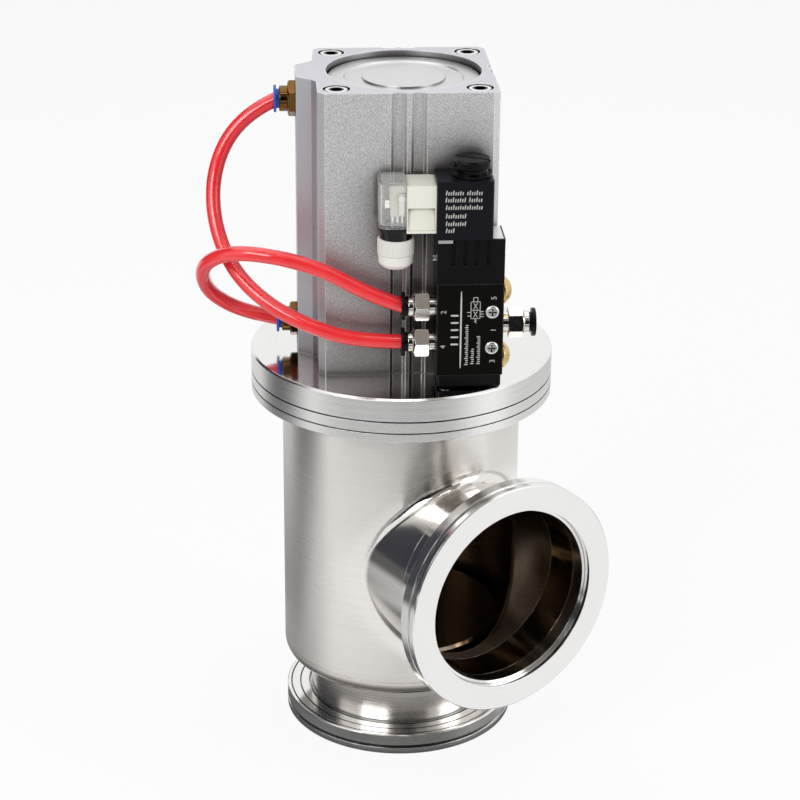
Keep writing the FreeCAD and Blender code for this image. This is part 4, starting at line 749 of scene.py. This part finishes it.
def make_contact_tabs():
    """Three bent tabs under the contact carrier and a clamp strip with its screw, in the hood."""
    pieces = []
    for x in TAB_PLACES:
        left, right = x - TAB_HALF_WIDTH, x + TAB_HALF_WIDTH
        blade = (left, INSERT_FRONT, TAB_BEND), (right, INSERT_FRONT + TAB_THICK, TAB_TOP)
        (foot_low, foot_high), foot_front = TAB_FOOT, INSERT_FRONT + TAB_FOOT_REACH
        foot = (left, INSERT_FRONT, foot_low), (right, foot_front, foot_high)
        pieces += [rounded_slab(*blade, 0.2), rounded_slab(*foot, 0.2)]
    pieces.append(rounded_slab(CLAMP_LOW, CLAMP_HIGH, 0.25))
    deselect()
    bpy.ops.mesh.primitive_cylinder_add(vertices=32, radius=CLAMP_SCREW_RADIUS,
                                        depth=CLAMP_SCREW_THICK, rotation=(math.pi / 2, 0, 0),
                                        location=CLAMP_SCREW)
    head = bpy.context.object
    bpy.ops.object.transform_apply(location=True, rotation=True, scale=True)
    bpy.ops.object.mode_set(mode="EDIT")
    bpy.ops.mesh.select_all(action="SELECT")
    bpy.ops.mesh.bevel(offset=0.25, segments=2)
    bpy.ops.object.mode_set(mode="OBJECT")
    pieces.append(head)
    return settle(join(pieces), "contact_tabs", "valve", "tin")


RIB_LOW, RIB_HIGH = (-0.34, -0.18, 0.0), (0.34, 0.3, 7.6)
RIB_COUNT = 44
RIB_CIRCLE = 9.4
RIB_START = 8.3


def make_nut_ribs():
    """Fine upright ribs round the upper part of the cable gland's nut."""
    rib = rounded_slab(RIB_LOW, RIB_HIGH, 0.12)
    low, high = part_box("gland_nut")
    middle = (low + high) / 2
    centre = Matrix.Rotation(-ACTUATOR_TURN, 4, "Z") @ Vector((middle.x, middle.y, 0)) / MM
    foot = Matrix.Translation((centre.x, centre.y, high.z / MM - RIB_START))
    ribs = []
    for i in range(RIB_COUNT):
        turn = Matrix.Rotation(math.tau * i / RIB_COUNT, 4, "Z")
        copy = bpy.data.objects.new("rib", rib.data.copy())
        copy.data.transform(foot @ turn @ Matrix.Translation((0, -RIB_CIRCLE, 0)))
        bpy.context.scene.collection.objects.link(copy)
        ribs.append(copy)
    bpy.data.objects.remove(rib)
    return settle(join(ribs), "gland_nut_ribs", "valve", "plastic_nut")


make_coil_print()
make_block_print()
make_contact_tabs()
make_nut_ribs()


def press_spool_spring():
    """Give the return spring a mesh of its own."""
    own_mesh(nodes["spool_spring"])


press_spool_spring()


def add_stage(piece, name, material):
    piece.name = name
    piece.data.materials.append(material)
    return piece


# Grey patches on the floor that only gloss sees: azimuth and half width in degrees,
# distances at which each starts, is full and has ended, and how much light it takes away
FLOOR_PATCHES = [
    (-132, 38, 0.30, 0.58, 1.80, 0.52),
    (-128, 45, 0.56, 0.66, 1.35, 0.85),
    (108, 24, 0.10, 0.20, 0.80, 0.65),
    (114, 44, 0.05, 0.12, 0.50, 0.45),
    (140, 7, 0.36, 0.52, 20.0, 0.94),
    (180, 85, 0.04, 0.09, 0.15, 0.70),
    (0, 180, 0.0, 0.066, 0.075, 0.90),
    (-135, 80, 0.05, 0.080, 0.125, 0.88),
    (-2, 28, 0.35, 0.60, 2.0, 0.45),
]
PATCH_FADE = math.radians(22)
FLOOR_RADIUS = 6
FLOOR_SEEN_GLOW = 0.86
FLOOR_MIRRORED_GLOW = 0.94


def floor_patch(f, azimuth, half_width, start, full, end, depth):
    """Share of glow left by a soft grey patch about an azimuth."""
    away = f.add("ShaderNodeVectorMath", {0: f.place}, operation="LENGTH").outputs["Value"]
    heading = f.add("ShaderNodeVectorMath", {0: f.place}, operation="NORMALIZE").outputs[0]
    a = math.radians(azimuth)
    towards = f.vector("DOT_PRODUCT", heading, (math.cos(a), math.sin(a), 0.0)).outputs["Value"]
    inner = math.radians(half_width)
    outer = min(math.pi, inner + PATCH_FADE)
    rise, fall = f.spread(away, start, full, 0.0, 1.0), f.spread(away, full, end, 1.0, 0.0)
    deep = f.math("MULTIPLY", rise, fall)
    if outer < math.pi:
        side = f.spread(towards, math.cos(outer), math.cos(inner), 0.0, 1.0)
        deep = f.math("MULTIPLY", deep, side)
    return f.math("SUBTRACT", 1.0, f.math("MULTIPLY", deep, depth))


def make_floor():
    """Pale paper that the camera sees almost white, with a faint shadow, and patches for gloss."""
    bpy.ops.mesh.primitive_circle_add(vertices=96, radius=FLOOR_RADIUS, fill_type="NGON")
    f = Finish("floor_paper", (0.9, 0.9, 0.9), 0.8)
    path = f.add("ShaderNodeLightPath").outputs
    seen = f.math("MAXIMUM", path["Is Camera Ray"], path["Is Transmission Ray"])
    mirrored = path["Is Glossy Ray"]
    level = 1.0
    for patch in FLOOR_PATCHES:
        level = f.math("MULTIPLY", floor_patch(f, *patch), level)
    strength = f.math("ADD", seen, f.math("MULTIPLY", mirrored, level))
    glow = f.add("ShaderNodeEmission", {"Color": (1, 1, 1, 1), "Strength": strength})
    share = f.math("ADD", f.math("MULTIPLY", seen, FLOOR_SEEN_GLOW),
                   f.math("MULTIPLY", mirrored, FLOOR_MIRRORED_GLOW))
    mixed = f.add("ShaderNodeMixShader", {0: share, 1: f.shader.outputs[0], 2: glow.outputs[0]})
    out = next(n for n in f.tree.nodes if n.type == "OUTPUT_MATERIAL")
    f.tree.links.new(mixed.outputs[0], out.inputs["Surface"])
    f.paint(f.shade(f.noise(8, 3), 0.01))
    add_stage(bpy.context.object, "floor", f.material)


def studio_card(name, places, faces, level):
    """Studio card that only gloss sees, so that metal has something dark or bright to mirror."""
    mesh = bpy.data.meshes.new(name)
    mesh.from_pydata(places, [], faces)
    card = bpy.data.objects.new(name, mesh)
    bpy.context.scene.collection.objects.link(card)
    material = bpy.data.materials.new(name + "_felt")
    material.use_nodes = True
    tree = material.node_tree
    tree.nodes.clear()
    felt = tree.nodes.new("ShaderNodeEmission")
    felt.inputs["Color"].default_value = (*level, 1)
    out = tree.nodes.new("ShaderNodeOutputMaterial")
    tree.links.new(felt.outputs[0], out.inputs["Surface"])
    add_stage(card, name, material)
    for way in ("camera", "diffuse", "transmission", "volume_scatter", "shadow"):
        setattr(card, "visible_" + way, False)


def sector_card(name, start, end, inner, outer, low, high, level, steps=12):
    """Card on a ring sector between two azimuths in degrees, two radii and two heights."""
    places, faces = [], []
    for i in range(steps + 1):
        a = math.radians(start + (end - start) * i / steps)
        places.append((inner * math.cos(a), inner * math.sin(a), low))
        places.append((outer * math.cos(a), outer * math.sin(a), high))
        if i:
            faces.append((2 * i - 2, 2 * i - 1, 2 * i + 1, 2 * i))
    studio_card(name, places, faces, level)


DARK = (0.012, 0.012, 0.014)
WARM_GREY = (0.30, 0.275, 0.25)
BRIGHT = (4.5, 4.4, 4.3)
SLATE = (0.05, 0.052, 0.065)


def make_cards():
    """Dark wall in front, grey card with a bright strip above it, slate wall behind on the left."""
    sector_card("card_front_wall", -166, -86, 3.0, 3.0, 0.002, 2.4, DARK)
    sector_card("card_front_top", -170, -70, 0.35, 2.2, 1.5, 1.7, WARM_GREY)
    sector_card("card_front_strip", -152, -98, 0.57, 0.69, 1.49, 1.49, BRIGHT)
    sector_card("card_left_wall", 98, 154, 2.0, 2.0, 0.002, 2.2, SLATE)


FILL_LEVEL = 0.5


def make_world():
    """White to the camera, gloss and glass, and a soft grey light on rough surfaces."""
    world = bpy.data.worlds.new("studio")
    bpy.context.scene.world = world
    world.use_nodes = True
    tree = world.node_tree
    tree.nodes.clear()
    path = tree.nodes.new("ShaderNodeLightPath").outputs
    seen = path["Is Camera Ray"]
    for other in ("Is Glossy Ray", "Is Transmission Ray"):
        both = tree.nodes.new("ShaderNodeMath")
        both.operation = "MAXIMUM"
        tree.links.new(seen, both.inputs[0])
        tree.links.new(path[other], both.inputs[1])
        seen = both.outputs[0]
    white = tree.nodes.new("ShaderNodeBackground")
    white.inputs["Strength"].default_value = 1.0
    white.inputs["Color"].default_value = (1, 1, 1, 1)
    fill = tree.nodes.new("ShaderNodeBackground")
    fill.inputs["Strength"].default_value = FILL_LEVEL
    fill.inputs["Color"].default_value = (1, 1, 1, 1)
    mixed = tree.nodes.new("ShaderNodeMixShader")
    out = tree.nodes.new("ShaderNodeOutputWorld")
    tree.links.new(seen, mixed.inputs[0])
    tree.links.new(fill.outputs[0], mixed.inputs[1])
    tree.links.new(white.outputs[0], mixed.inputs[2])
    tree.links.new(mixed.outputs[0], out.inputs["Surface"])


# Softboxes: name, place, width and height, power in watts; all look at LIT_POINT
LIT_POINT = (0, 0, 0.2)
LAMPS = [
    ("key_softbox", (-1.3, -0.6, 1.1), (0.9, 0.7), 11),
    ("fill_softbox", (0.9, -1.3, 0.9), (0.8, 0.8), 6),
    ("top_softbox", (0.2, 0.3, 1.6), (2.0, 2.0), 8),
]


def make_lamps():
    for name, place, size, power in LAMPS:
        data = bpy.data.lights.new(name, "AREA")
        data.shape = "RECTANGLE"
        data.size, data.size_y = size
        data.energy = power
        lamp = bpy.data.objects.new(name, data)
        bpy.context.scene.collection.objects.link(lamp)
        lamp.location = place
        aim = Vector(LIT_POINT) - Vector(place)
        lamp.rotation_euler = aim.to_track_quat("-Z", "Y").to_euler()


make_floor()
make_cards()
make_world()
make_lamps()

bpy.context.scene.view_settings.view_transform = "Standard"
